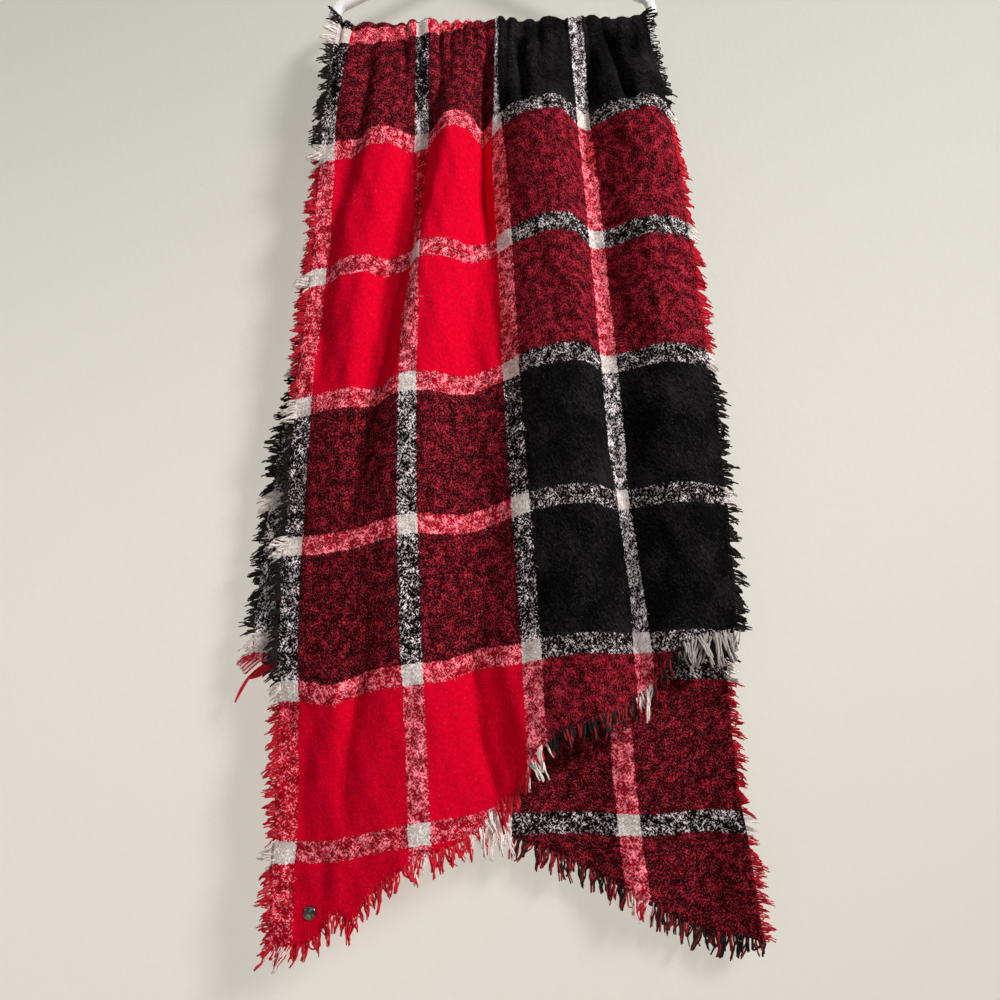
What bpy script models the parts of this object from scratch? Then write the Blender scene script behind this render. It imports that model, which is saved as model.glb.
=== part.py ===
"""Tartan blanket scarf folded over the trouser bar of a plastic clothes hanger.

Metres, +Z up, the scarf's front faces -Y. The origin is the inside top of the hook, where a rail
holds the hanger. The scarf is one woven panel, a parallelogram with two straight sides and two
slanted cut ends. A place on the flat panel is (across, along): across runs from the left side to
the right side, along runs with the warp, from 0 on the first cream weft stripe, positive to the
front. cloth_point hangs any such place in space, and every cloth piece reads it.
"""
import bmesh
import bpy
import numpy as np
from mathutils import Matrix, Vector

# --- the panel as it is cut
WIDTH = 0.595
WALL = 0.0025
SEAM = 0.0005
# Five warp lines of the panel: its left side, the middles of the second, third and fourth cream
# stripes, and its right side. For each, which weft lies on top of the bar.
WARP_COLUMNS = ("across", "on_bar")
WARP_LINES = (
    (0.000, -0.036),
    (0.161, -0.020),
    (0.311, 0.000),
    (0.461, 0.008),
    (0.595, 0.008),
)
# The slanted ends, cut by eye and frayed, so neither is quite straight.
END_COLUMNS = ("across", "along")
FRONT_END = (
    (0.000, 1.090),
    (0.055, 1.079),
    (0.161, 1.016),
    (0.225, 0.997),
    (0.270, 0.974),
    (0.322, 0.928),
    (0.400, 0.903),
    (0.461, 0.880),
    (0.510, 0.834),
    (0.595, 0.814),
)
BACK_END = (
    (0.000, -0.863),
    (0.161, -0.932),
    (0.311, -1.004),
    (0.461, -1.071),
    (0.530, -1.111),
    (0.595, -1.118),
)

# --- the hanger
BAR_HEIGHT = -0.235
BAR_RADIUS = 0.0075
BAR_HALF = 0.185
END_RADIUS = 0.025
ARM_SLOPE = np.radians(28.0)
APEX_RADIUS = 0.030
HOOK_RADIUS = 0.0045
HOOK_INSIDE = 0.020
HOOK_STEM = 0.012
HOOK_SEAT = 0.0003

# --- how the panel turns over the bar
GATHERS = 22
GATHER_DEPTH = 0.003
GATHER_REACH = 0.075
COLUMNS_PER_GATHER = 5
BAR_CLEARANCE = 0.0011
TURN_RADIUS = BAR_RADIUS + BAR_CLEARANCE + WALL / 2 + GATHER_DEPTH
QUARTER_TURN = TURN_RADIUS * np.pi / 2
OVER_BAR_DROP = 0.028
LIFT_FADE = 0.026
GUARD_SHARE = 0.004
BACK_STRETCH = 1.013

# --- where the five warp lines hang, left and right of the hook, at each drop below the bar
LINE_COLUMNS = ("drop", "left_side", "line_2", "line_3", "line_4", "right_side")
FRONT_LINES = (
    (0.00, -0.2015, -0.092, 0.006, 0.107, 0.198),
    (0.07, -0.213, -0.093, 0.003, 0.110, 0.209),
    (0.15, -0.222, -0.094, 0.002, 0.113, 0.221),
    (0.30, -0.231, -0.098, 0.007, 0.120, 0.235),
    (0.45, -0.243, -0.109, 0.010, 0.127, 0.245),
    (0.60, -0.253, -0.112, 0.015, 0.134, 0.254),
    (0.75, -0.260, -0.111, 0.022, 0.147, 0.257),
    (0.90, -0.258, -0.105, 0.026, 0.152, 0.250),
    (1.12, -0.276, -0.102, 0.030, 0.155, 0.250),
)
BACK_LINES = (
    (0.00, -0.2015, -0.092, 0.006, 0.107, 0.198),
    (0.15, -0.226, -0.104, 0.002, 0.112, 0.220),
    (0.30, -0.240, -0.116, -0.001, 0.116, 0.233),
    (0.45, -0.259, -0.128, -0.006, 0.120, 0.242),
    (0.60, -0.280, -0.140, -0.010, 0.122, 0.247),
    (0.75, -0.298, -0.152, -0.014, 0.124, 0.250),
    (0.95, -0.296, -0.155, -0.019, 0.126, 0.255),
    (1.12, -0.300, -0.160, -0.022, 0.138, 0.270),
)

# --- the large folds: where each ridge or valley runs, and how far it stands out from the bar's
# plane, at three drops. Between two rows the cloth swings in one soft S.
FOLD_DROPS = (0.15, 0.50, 0.95)
FOLD_TOP = 0.026
FOLD_FULL = 0.165
FOLD_TAKE_UP = 5.0
FOLD_COLUMNS = ("name", "x_high", "x_mid", "x_low", "out_high", "out_mid", "out_low")
FRONT_FOLDS = (
    ("left hem", -0.232, -0.252, -0.268, 0.018, 0.018, 0.014),
    ("first ridge", -0.142, -0.198, -0.228, 0.034, 0.026, 0.020),
    ("main valley", -0.096, -0.148, -0.170, 0.009, 0.011, 0.014),
    ("second ridge", -0.049, -0.068, -0.095, 0.046, 0.040, 0.028),
    ("middle valley", -0.012, -0.006, -0.022, 0.010, 0.012, 0.010),
    ("third ridge", 0.065, 0.086, 0.080, 0.049, 0.047, 0.038),
    ("right valley", 0.114, 0.128, 0.146, 0.010, 0.012, 0.010),
    ("fourth ridge", 0.190, 0.200, 0.200, 0.040, 0.038, 0.032),
    ("right hem", 0.228, 0.250, 0.262, 0.018, 0.020, 0.016),
)
BACK_FOLDS = (
    ("left hem", -0.232, -0.275, -0.300, 0.014, 0.014, 0.014),
    ("first ridge", -0.170, -0.205, -0.232, 0.032, 0.026, 0.022),
    ("first valley", -0.118, -0.140, -0.165, 0.010, 0.010, 0.010),
    ("second ridge", -0.058, -0.070, -0.090, 0.038, 0.034, 0.026),
    ("middle valley", -0.004, -0.010, -0.012, 0.010, 0.010, 0.010),
    ("third ridge", 0.058, 0.070, 0.066, 0.036, 0.032, 0.026),
    ("right valley", 0.120, 0.132, 0.140, 0.010, 0.010, 0.010),
    ("fourth ridge", 0.178, 0.196, 0.208, 0.034, 0.030, 0.024),
    ("right hem", 0.228, 0.248, 0.266, 0.014, 0.014, 0.014),
)

# --- the fringe: half_widths run from a lock's root to its tip, start is where the first lock's
# share of the edge begins, and droop is how far a lock's tip turns down, from 0 to 1
EDGE_PROBE = 0.01
FRINGE_GAP = 0.0008
FRINGE_STRIP = 0.003
FRINGE_STOP = 0.004
FRINGE_LEAN = 0.10
LOCK_LENGTHS = (0.72, 1.18)
SIDE_LOCKS = {
    "pitch": 0.030,
    "length": 0.019,
    "half_widths": (0.0078, 0.0035, 0.0027),
    "start": 0.030,
    "droop": (0.25, 0.75),
}
END_LOCKS = {
    "pitch": 0.0148,
    "length": 0.028,
    "half_widths": (0.0044, 0.0013),
    "start": 0.004,
    "droop": (0.95, 1.0),
}

# --- the stud
STUD_ACROSS = 0.043
STUD_ALONG = 1.059
STUD_HALF_WIDTH = 0.0075
STUD_HALF_HEIGHT = 0.0092
STUD_DOME = 0.0028

FRONT, BACK = 1, -1


def columns_of(names, rows):
    """Turn a table of rows into one tuple for each named column."""
    return dict(zip(names, zip(*rows)))


WARPS = columns_of(WARP_COLUMNS, WARP_LINES)
ENDS = {FRONT: columns_of(END_COLUMNS, FRONT_END), BACK: columns_of(END_COLUMNS, BACK_END)}
LINES = {FRONT: columns_of(LINE_COLUMNS, FRONT_LINES), BACK: columns_of(LINE_COLUMNS, BACK_LINES)}
FOLDS = {FRONT: columns_of(FOLD_COLUMNS, FRONT_FOLDS), BACK: columns_of(FOLD_COLUMNS, BACK_FOLDS)}


def curve_through(at, stops, values, level=False):
    """Read a smooth curve through stops at the places in at.

    Between two stops it is a cubic. Its slope at a stop is the mean of the two straight slopes
    beside it, or 0 where level is set, so that each stop is the top or the foot of a wave.
    """
    at = np.asarray(at, float)
    stops = np.broadcast_to(stops, (len(at), np.shape(stops)[-1]))
    values = np.broadcast_to(values, stops.shape)
    secants = np.diff(values) / np.diff(stops)
    slopes = np.hstack([secants[:, :1], (secants[:, :-1] + secants[:, 1:]) / 2, secants[:, -1:]])
    slopes = slopes * (not level)
    first = (at[:, None] >= stops[:, 1:-1]).sum(axis=1)[:, None]

    def pick(table, step):
        return np.take_along_axis(table, first + step, axis=1)[:, 0]

    span = pick(stops, 1) - pick(stops, 0)
    t = np.clip((at - pick(stops, 0)) / span, 0.0, 1.0)
    rise = t * t * (3 - 2 * t)
    start_bend = t * (1 - t) ** 2
    end_bend = t * t * (t - 1)
    return (
        (1 - rise) * pick(values, 0)
        + rise * pick(values, 1)
        + span * (start_bend * pick(slopes, 0) + end_bend * pick(slopes, 1))
    )


def rows_at(at, stops, columns):
    """Read each of the columns at the places in at, and return one row for each place."""
    return np.column_stack([curve_through(at, stops, column) for column in columns])


def ease(t):
    """A soft step from 0 to 1."""
    t = np.clip(t, 0.0, 1.0)
    return t * t * (3 - 2 * t)


def sideways(across, drop, side):
    """Where a warp line hangs, left or right of the hook."""
    lines = LINES[side]
    hanging = rows_at(drop, lines["drop"], [lines[name] for name in LINE_COLUMNS[1:]])
    return curve_through(across, WARPS["across"], hanging)


def fold_reach(x, drop, side):
    """How far the large folds stand out from the bar's plane."""
    folds = FOLDS[side]
    places = rows_at(drop, FOLD_DROPS, zip(folds["x_high"], folds["x_mid"], folds["x_low"]))
    reaches = rows_at(drop, FOLD_DROPS, zip(folds["out_high"], folds["out_mid"], folds["out_low"]))
    return curve_through(x, places, reaches, level=True)


def gather(across, drop):
    """The small gathers pushed together on the bar, fading below it.

    The slower sines of the turn make them uneven in spacing and in depth.
    """
    turn = 2 * np.pi * across / WIDTH
    phase = GATHERS * turn + 1.3 * np.sin(2 * turn + 1.0) + 0.9 * np.sin(5 * turn)
    depth = GATHER_DEPTH * (0.78 + 0.22 * np.sin(3 * turn + 2.0))
    return depth * np.sin(phase) * np.exp(-((drop / GATHER_REACH) ** 2))


def bar_lift(x):
    """How much higher the cloth lies where the bar's ends bend upwards."""
    bend = np.arcsin(np.clip((np.abs(x) - BAR_HALF) / END_RADIUS, 0.0, 0.95))
    return END_RADIUS * (1 - np.cos(bend)) + BAR_RADIUS * (1 / np.cos(bend) - 1)


def on_bar(across):
    """Which weft lies on top of the bar."""
    return curve_through(across, WARPS["across"], WARPS["on_bar"])


def cloth_point(across, along):
    """Hang places of the flat panel over the bar; returns an array of (x, y, z) rows."""
    across, along = np.broadcast_arrays(np.asarray(across, float), np.asarray(along, float))
    shape = across.shape
    across, along = across.ravel(), along.ravel()
    past_top = along - on_bar(across)
    front = past_top >= 0
    turn = np.minimum(np.abs(past_top) / TURN_RADIUS, np.pi / 2)
    drop = np.maximum(np.abs(past_top) - QUARTER_TURN, 0) * np.where(front, 1.0, BACK_STRETCH)
    x = np.where(front, sideways(across, drop, FRONT), sideways(across, drop, BACK))
    folds = np.where(front, fold_reach(x, drop, FRONT), fold_reach(x, drop, BACK))
    swell = (folds - TURN_RADIUS) * ease((drop - FOLD_TOP) / (FOLD_FULL - FOLD_TOP))
    ripple = gather(across, drop)
    out = (TURN_RADIUS + ripple) * np.sin(turn) + swell
    lift = bar_lift(x) * (1 - ease(drop / LIFT_FADE))
    z = BAR_HEIGHT + lift + (TURN_RADIUS + ripple) * np.cos(turn) - drop + FOLD_TAKE_UP * swell**2
    return np.column_stack([x, np.where(front, -out, out), z]).reshape(*shape, 3)


def fall_along(across, share, side):
    """The weft a given share of the way down a fall, from the over-bar stretch to the cut end."""
    top = on_bar(across) + side * (QUARTER_TURN + OVER_BAR_DROP + SEAM)
    end = curve_through(across, ENDS[side]["across"], ENDS[side]["along"])
    return top + share * (end - top)


def row_shares(rows):
    """How far down a fall each of its rows lies: one short row at the seam, then longer and longer."""
    return np.hstack([0.0, GUARD_SHARE + (1 - GUARD_SHARE) * np.linspace(0, 1, rows) ** 1.25])


def material(name, colour, roughness, metallic=0.0):
    finish = bpy.data.materials.new(name)
    finish.use_nodes = True
    shader = finish.node_tree.nodes["Principled BSDF"]
    shader.inputs["Base Color"].default_value = (*colour, 1.0)
    shader.inputs["Roughness"].default_value = roughness
    shader.inputs["Metallic"].default_value = metallic
    return finish


def add_object(name, data, finish):
    piece = bpy.data.objects.new(name, data)
    piece.data.materials.append(finish)
    bpy.data.collections["blanket_scarf"].objects.link(piece)
    return piece


def placed_grid(columns, rows, place):
    """A grid whose vertices go where place puts their two shares, across and down, from 0 to 1."""
    grid = bmesh.new()
    bmesh.ops.create_grid(grid, x_segments=columns, y_segments=rows, size=1.0)
    shares = np.array([vertex.co[:2] for vertex in grid.verts]) / 2 + 0.5
    for vertex, point in zip(grid.verts, place(shares[:, 0], shares[:, 1])):
        vertex.co = point
    return grid


def wall(name, grid, finish):
    """Give an open surface the cloth's thickness, half to each side."""
    mesh = bpy.data.meshes.new(name)
    grid.to_mesh(mesh)
    grid.free()
    piece = add_object(name, mesh, finish)
    thickness = piece.modifiers.new("thickness", "SOLIDIFY")
    thickness.thickness = WALL
    thickness.offset = 0.0
    return piece


def make_fall(name, side, columns, rows, finish):
    """A stretch that hangs below the bar."""

    def place(a, b):
        shares = row_shares(rows)[np.rint(b * rows).astype(int)]
        return cloth_point(a * WIDTH, fall_along(a * WIDTH, shares, side))

    return wall(name, placed_grid(columns, rows, place), finish)


def make_over_bar(finish):
    """The gathered stretch that turns over the bar."""
    below = QUARTER_TURN + OVER_BAR_DROP
    steps = np.array([-below, -QUARTER_TURN, -QUARTER_TURN / 2, 0.0])
    steps = np.hstack([steps, -steps[-2::-1]])
    columns = GATHERS * COLUMNS_PER_GATHER

    def place(a, b):
        past_top = steps[np.rint(b * (len(steps) - 1)).astype(int)]
        return cloth_point(a * WIDTH, on_bar(a * WIDTH) + past_top)

    return wall("over_bar", placed_grid(columns, len(steps) - 1, place), finish)


def edge_line(side, edge, rows, columns):
    """The fall's own edge vertices, and the way each points out of the cloth.

    edge is left, right or end. The line bends only where the fall's coarse wall bends, so a
    strip laid beside it keeps an even gap.
    """
    shares = np.linspace(0, 1, columns + 1) if edge == "end" else row_shares(rows)
    if edge == "end":
        across = shares * WIDTH
        along = fall_along(across, 1.0, side)
        inner = cloth_point(across, along - side * EDGE_PROBE)
    else:
        across = np.full(len(shares), 0.0 if edge == "left" else WIDTH)
        along = fall_along(across, shares, side)
        inner = cloth_point(across + (EDGE_PROBE if edge == "left" else -EDGE_PROBE), along)
    line = cloth_point(across, along)
    outward = line - inner
    along_edge = np.gradient(line, axis=0)
    along_edge /= np.linalg.norm(along_edge, axis=1)[:, None]
    outward -= along_edge * (outward * along_edge).sum(axis=1)[:, None]
    return line, outward / np.linalg.norm(outward, axis=1)[:, None]


def make_fringe(name, side, edge, size, finish, seed):
    """A comb of locks whose roots share a narrow strip beside the cloth's edge."""
    style = END_LOCKS if edge == "end" else SIDE_LOCKS
    line, outward = edge_line(side, edge, size["rows"], size["columns"])
    distance = np.hstack([0, np.cumsum(np.linalg.norm(np.diff(line, axis=0), axis=1))])
    run = distance[-1] - FRINGE_STOP - style["start"]
    locks = int(run / style["pitch"])
    steps = len(style["half_widths"]) - 1
    chance = np.random.default_rng(seed)
    lengths = style["length"] * chance.uniform(*LOCK_LENGTHS, locks)
    leans = chance.uniform(-FRINGE_LEAN, FRINGE_LEAN, locks)
    droops = chance.uniform(*style["droop"], locks)

    def read(places, table):
        return np.column_stack([np.interp(places, distance, axis) for axis in table.T])

    def place(a, b):
        station = np.rint(a * (2 * locks - 1)).astype(int)
        row = np.rint(b * (steps + 1)).astype(int)
        lock, far_side = station // 2, station % 2
        step = np.maximum(row - 1, 0)
        centre = style["start"] + (lock + 0.5) * run / locks
        at = centre + (2 * far_side - 1) * np.array(style["half_widths"])[step]
        strip = FRINGE_GAP + np.where(row > 0, FRINGE_STRIP, 0.0)
        root = read(at, line) + read(at, outward) * strip[:, None]
        droop = (droops[lock] * step / steps)[:, None]
        way = read(centre, outward) * (1 - droop) + np.array([0.0, 0.0, -1.0]) * droop
        way[:, 0] += leans[lock]
        way /= np.linalg.norm(way, axis=1)[:, None]
        return root + way * (lengths[lock] * step / steps)[:, None]

    comb = placed_grid(2 * locks - 1, steps + 1, place)
    remove_gaps(comb, 2 * locks - 1, steps + 1)
    wall(name, comb, finish)
    return locks


def remove_gaps(comb, columns, rows):
    """Delete every other column of cells outside the strip, which leaves the locks."""
    comb.faces.ensure_lookup_table()
    gaps = [
        comb.faces[row * columns + column]
        for row in range(1, rows)
        for column in range(1, columns, 2)
    ]
    bmesh.ops.delete(comb, geom=gaps, context="FACES")


def make_stud(finish):
    """A domed oval stud that lies on the front near its lower left corner."""
    here = Vector(cloth_point([STUD_ACROSS], [STUD_ALONG])[0])
    right = Vector(cloth_point([STUD_ACROSS + EDGE_PROBE], [STUD_ALONG])[0]) - here
    up = Vector(cloth_point([STUD_ACROSS], [STUD_ALONG - EDGE_PROBE])[0]) - here
    outward = right.cross(up).normalized()
    right.normalize()
    up = outward.cross(right)
    seat = here + outward * (WALL / 2 + SEAM)
    dome = bmesh.new()
    bmesh.ops.create_uvsphere(dome, u_segments=16, v_segments=8, radius=1.0)
    for vertex in dome.verts:
        vertex.co.z = max(vertex.co.z, 0.0)
    bmesh.ops.scale(dome, vec=(STUD_HALF_WIDTH, STUD_HALF_HEIGHT, STUD_DOME), verts=dome.verts)
    frame = Matrix((right, up, outward)).transposed().to_4x4()
    bmesh.ops.transform(dome, matrix=Matrix.Translation(seat) @ frame, verts=dome.verts)
    mesh = bpy.data.meshes.new("metal_stud")
    dome.to_mesh(mesh)
    dome.free()
    add_object("metal_stud", mesh, finish)


def tube(name, path, radius, closed, finish):
    """A round tube along a path of (x, z) points in the hanger's plane."""
    curve = bpy.data.curves.new(name, "CURVE")
    curve.dimensions = "3D"
    curve.bevel_depth = radius
    curve.bevel_resolution = 2
    curve.use_fill_caps = True
    run = curve.splines.new("POLY")
    run.points.add(len(path) - 1)
    for point, (x, z) in zip(run.points, path):
        point.co = (x, 0.0, z, 1.0)
    run.use_cyclic_u = closed
    return add_object(name, curve, finish)


def arc(centre, radius, start, stop, steps):
    """Points of an arc, from one angle to another in degrees."""
    angles = np.radians(np.linspace(start, stop, steps + 1))
    return np.column_stack([centre[0] + radius * np.cos(angles), centre[1] + radius * np.sin(angles)])


def hanger_half():
    """The right half of the frame's centre line, from the bar's middle to the arms' peak."""
    slope = np.degrees(ARM_SLOPE)
    end = arc((BAR_HALF, BAR_HEIGHT + END_RADIUS), END_RADIUS, -90, 90 - slope, 9)
    arm_rise = end[-1][0] * np.tan(ARM_SLOPE)
    peak = end[-1][1] + arm_rise - APEX_RADIUS / np.cos(ARM_SLOPE)
    crown = arc((0.0, peak), APEX_RADIUS, 90 - slope, 90, 3)
    return end, crown, peak + APEX_RADIUS


def make_hanger(finish):
    """A closed frame of arms and bar, and a hook that stands on its peak."""
    end, crown, peak = hanger_half()
    half = np.vstack([end, crown[:-1]])
    mirrored = half[::-1] * (-1, 1)
    tube("hanger_frame", np.vstack([half, [[0.0, peak]], mirrored]), BAR_RADIUS, True, finish)
    bend = HOOK_INSIDE + HOOK_RADIUS
    stem_foot = peak + BAR_RADIUS + HOOK_SEAT
    loop = arc((0.0, -HOOK_INSIDE), bend, -90, 195, 20)
    stem = [(0.0, stem_foot), (0.0, stem_foot + HOOK_STEM)]
    tube("hanger_hook", np.vstack([stem, loop]), HOOK_RADIUS, False, finish)


def main():
    for item in list(bpy.data.objects):
        bpy.data.objects.remove(item, do_unlink=True)
    bpy.context.scene.collection.children.link(bpy.data.collections.new("blanket_scarf"))
    plaid = material("brushed_wool_plaid", (0.36, 0.02, 0.04), 0.95)
    yarn = material("loose_wool_yarn", (0.10, 0.01, 0.02), 0.95)
    plastic = material("white_plastic", (0.86, 0.86, 0.84), 0.35)
    gunmetal = material("dark_metal", (0.10, 0.10, 0.09), 0.35, metallic=1.0)
    front = {"columns": 48, "rows": 13}
    back = {"columns": 42, "rows": 12}
    make_fall("front_fall", FRONT, front["columns"], front["rows"], plaid)
    make_over_bar(plaid)
    make_fall("back_fall", BACK, back["columns"], back["rows"], plaid)
    locks = 0
    for seed, (name, side, edge, size) in enumerate((
        ("front_left_fringe", FRONT, "left", front),
        ("front_right_fringe", FRONT, "right", front),
        ("front_end_fringe", FRONT, "end", front),
        ("back_left_fringe", BACK, "left", back),
        ("back_right_fringe", BACK, "right", back),
        ("back_end_fringe", BACK, "end", back),
    )):
        locks += make_fringe(name, side, edge, size, yarn, seed)
    print("locks of fringe:", locks)
    make_stud(gunmetal)
    make_hanger(plastic)


main()
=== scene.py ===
# %% [markdown]
# # A tartan blanket scarf on a clothes hanger
# The real scarf is one woven panel about 0.6 m wide. It is brushed, so loose fibres soften its
# plaid, and all four edges are frayed into a fringe. It hangs folded over the trouser bar of a
# white plastic hanger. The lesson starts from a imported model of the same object, which fixes every
# size and place, and dresses it piece by piece.

import bpy
import numpy as np
from mathutils import Matrix, Vector


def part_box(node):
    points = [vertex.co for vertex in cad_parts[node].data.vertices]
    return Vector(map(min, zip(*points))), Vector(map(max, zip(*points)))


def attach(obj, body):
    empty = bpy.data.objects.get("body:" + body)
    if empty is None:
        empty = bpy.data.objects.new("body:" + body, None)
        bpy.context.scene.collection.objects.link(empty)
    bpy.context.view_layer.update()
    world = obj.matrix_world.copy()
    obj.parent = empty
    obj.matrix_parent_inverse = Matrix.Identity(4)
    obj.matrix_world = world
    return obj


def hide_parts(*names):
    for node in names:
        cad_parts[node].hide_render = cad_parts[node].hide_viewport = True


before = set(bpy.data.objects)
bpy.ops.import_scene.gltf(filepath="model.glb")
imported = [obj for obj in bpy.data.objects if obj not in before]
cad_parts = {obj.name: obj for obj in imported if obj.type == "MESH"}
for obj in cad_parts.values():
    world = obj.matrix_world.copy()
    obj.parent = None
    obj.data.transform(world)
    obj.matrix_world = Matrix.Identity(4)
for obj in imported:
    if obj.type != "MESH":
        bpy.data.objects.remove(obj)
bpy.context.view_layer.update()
print("solids in the frame:", len(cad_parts))

# %% [markdown]
# ## The panel and how it hangs
# A place on the flat panel is (across, along): across from its left side to its right side, along
# with the warp, 0 on the first cream weft stripe and positive towards the front. Cut sizes and
# folds are short tables, because that is how a maker would note them, and a smooth curve through
# each table gives every place in between.

# %% Sizes of the panel, the hanger and the turn over its bar, in metres
WIDTH = 0.595
ROW = 0.165
COLUMN = 0.150
FIRST_STRIPE = 0.0125
RED_COLUMNS_END = 0.3125
WALL = 0.0022
BAR_RADIUS = 0.0075
BAR_HALF = 0.185
END_RADIUS = 0.025
BAR_HEIGHT = float(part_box("hanger_frame")[0][2]) + BAR_RADIUS
GATHERS = 22
GATHER_DEPTH = 0.003
GATHER_REACH = 0.075
TURN_RADIUS = 0.01285
QUARTER_TURN = TURN_RADIUS * np.pi / 2
OVER_BAR_DROP = 0.028
LIFT_FADE = 0.026
BACK_STRETCH = 1.021
FOLD_TOP = 0.026
FOLD_FULL = 0.165
FOLD_TAKE_UP = 5.0
FRONT, BACK = 1, -1
print("the bar's middle lies at a height of", round(BAR_HEIGHT, 4))

# %% Where the weft lies on the bar, slides near it, and is cut
# Each row is (across, along)
ON_BAR = (
    (0.000, -0.036),
    (0.161, -0.0215),
    (0.236, -0.0160),
    (0.311, 0.001),
    (0.461, 0.008),
    (0.595, 0.008),
)
FRONT_END = (
    (0.000, 1.095),
    (0.050, 1.083),
    (0.070, 1.058),
    (0.086, 1.068),
    (0.104, 1.047),
    (0.161, 1.016),
    (0.205, 1.006),
    (0.235, 0.995),
    (0.252, 0.981),
    (0.285, 0.967),
    (0.322, 0.928),
    (0.400, 0.903),
    (0.461, 0.880),
    (0.510, 0.834),
    (0.595, 0.814),
)
SLIDES = (
    (0.000, 0.000),
    (0.060, -0.004),
    (0.161, -0.004),
    (0.195, -0.002),
    (0.240, 0.004),
    (0.262, 0.018),
    (0.290, 0.012),
    (0.330, 0.000),
    (0.595, 0.000),
)
SLIDE_REACH = 0.040
BACK_END = (
    (0.000, -0.843),
    (0.161, -0.923),
    (0.311, -0.996),
    (0.461, -1.063),
    (0.530, -1.103),
    (0.595, -1.110),
)

print("the front hangs", FRONT_END[0][1], "and the back", -BACK_END[-1][1], "down at their longest")

# %% Where five warp lines hang
WARP_LINES = (0.000, 0.1625, 0.3125, 0.4625, 0.595)
# Each row is the drop below the bar, then x of the five lines
FRONT_LINES = (
    (0.00, -0.2015, -0.092, 0.006, 0.107, 0.200),
    (0.07, -0.213, -0.093, 0.003, 0.110, 0.208),
    (0.15, -0.222, -0.094, 0.002, 0.113, 0.221),
    (0.30, -0.231, -0.098, 0.007, 0.120, 0.235),
    (0.45, -0.246, -0.109, 0.010, 0.127, 0.245),
    (0.60, -0.257, -0.112, 0.015, 0.134, 0.254),
    (0.75, -0.265, -0.111, 0.022, 0.147, 0.257),
    (0.90, -0.263, -0.105, 0.026, 0.152, 0.250),
    (1.12, -0.267, -0.099, 0.030, 0.155, 0.250),
)
BACK_LINES = (
    (0.00, -0.2015, -0.092, 0.006, 0.107, 0.200),
    (0.15, -0.226, -0.104, 0.002, 0.112, 0.220),
    (0.30, -0.238, -0.116, -0.001, 0.116, 0.233),
    (0.45, -0.255, -0.128, -0.006, 0.120, 0.242),
    (0.60, -0.281, -0.140, -0.010, 0.122, 0.247),
    (0.75, -0.298, -0.152, -0.014, 0.124, 0.250),
    (0.95, -0.296, -0.155, -0.015, 0.126, 0.255),
    (1.12, -0.300, -0.160, -0.017, 0.138, 0.270),
)

# %% Where the large folds stand
ROUNDING = 1.5
FOLD_DROPS = (0.15, 0.50, 0.95)
# Each row is a fold, its x at the three drops, and how far it stands out at each of them
FRONT_FOLDS = (
    ("left hem", -0.232, -0.252, -0.268, 0.018, 0.018, 0.014),
    ("first ridge", -0.142, -0.190, -0.210, 0.036, 0.026, 0.017),
    ("main valley", -0.099, -0.165, -0.186, 0.009, 0.015, 0.024),
    ("second ridge", -0.047, -0.106, -0.116, 0.046, 0.043, 0.032),
    ("middle valley", -0.012, -0.034, -0.028, 0.010, 0.011, 0.009),
    ("third ridge", 0.065, 0.086, 0.080, 0.049, 0.047, 0.038),
    ("right valley", 0.114, 0.128, 0.146, 0.010, 0.012, 0.010),
    ("fourth ridge", 0.190, 0.200, 0.200, 0.040, 0.038, 0.032),
    ("right hem", 0.228, 0.250, 0.262, 0.018, 0.020, 0.016),
)
BACK_FOLDS = (
    ("left hem", -0.232, -0.275, -0.300, 0.014, 0.014, 0.014),
    ("first ridge", -0.170, -0.205, -0.232, 0.032, 0.026, 0.022),
    ("first valley", -0.118, -0.140, -0.165, 0.010, 0.010, 0.010),
    ("second ridge", -0.058, -0.070, -0.090, 0.038, 0.034, 0.026),
    ("middle valley", -0.004, -0.010, -0.012, 0.010, 0.010, 0.010),
    ("third ridge", 0.058, 0.070, 0.066, 0.036, 0.032, 0.026),
    ("right valley", 0.120, 0.132, 0.140, 0.010, 0.010, 0.010),
    ("fourth ridge", 0.178, 0.196, 0.208, 0.034, 0.030, 0.024),
    ("right hem", 0.228, 0.248, 0.266, 0.014, 0.014, 0.014),
)


ENDS = {FRONT: FRONT_END, BACK: BACK_END}
LINES = {FRONT: FRONT_LINES, BACK: BACK_LINES}
FOLDS = {FRONT: FRONT_FOLDS, BACK: BACK_FOLDS}
print("folds of the front:", ", ".join(name for name, *_ in FRONT_FOLDS))


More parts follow.
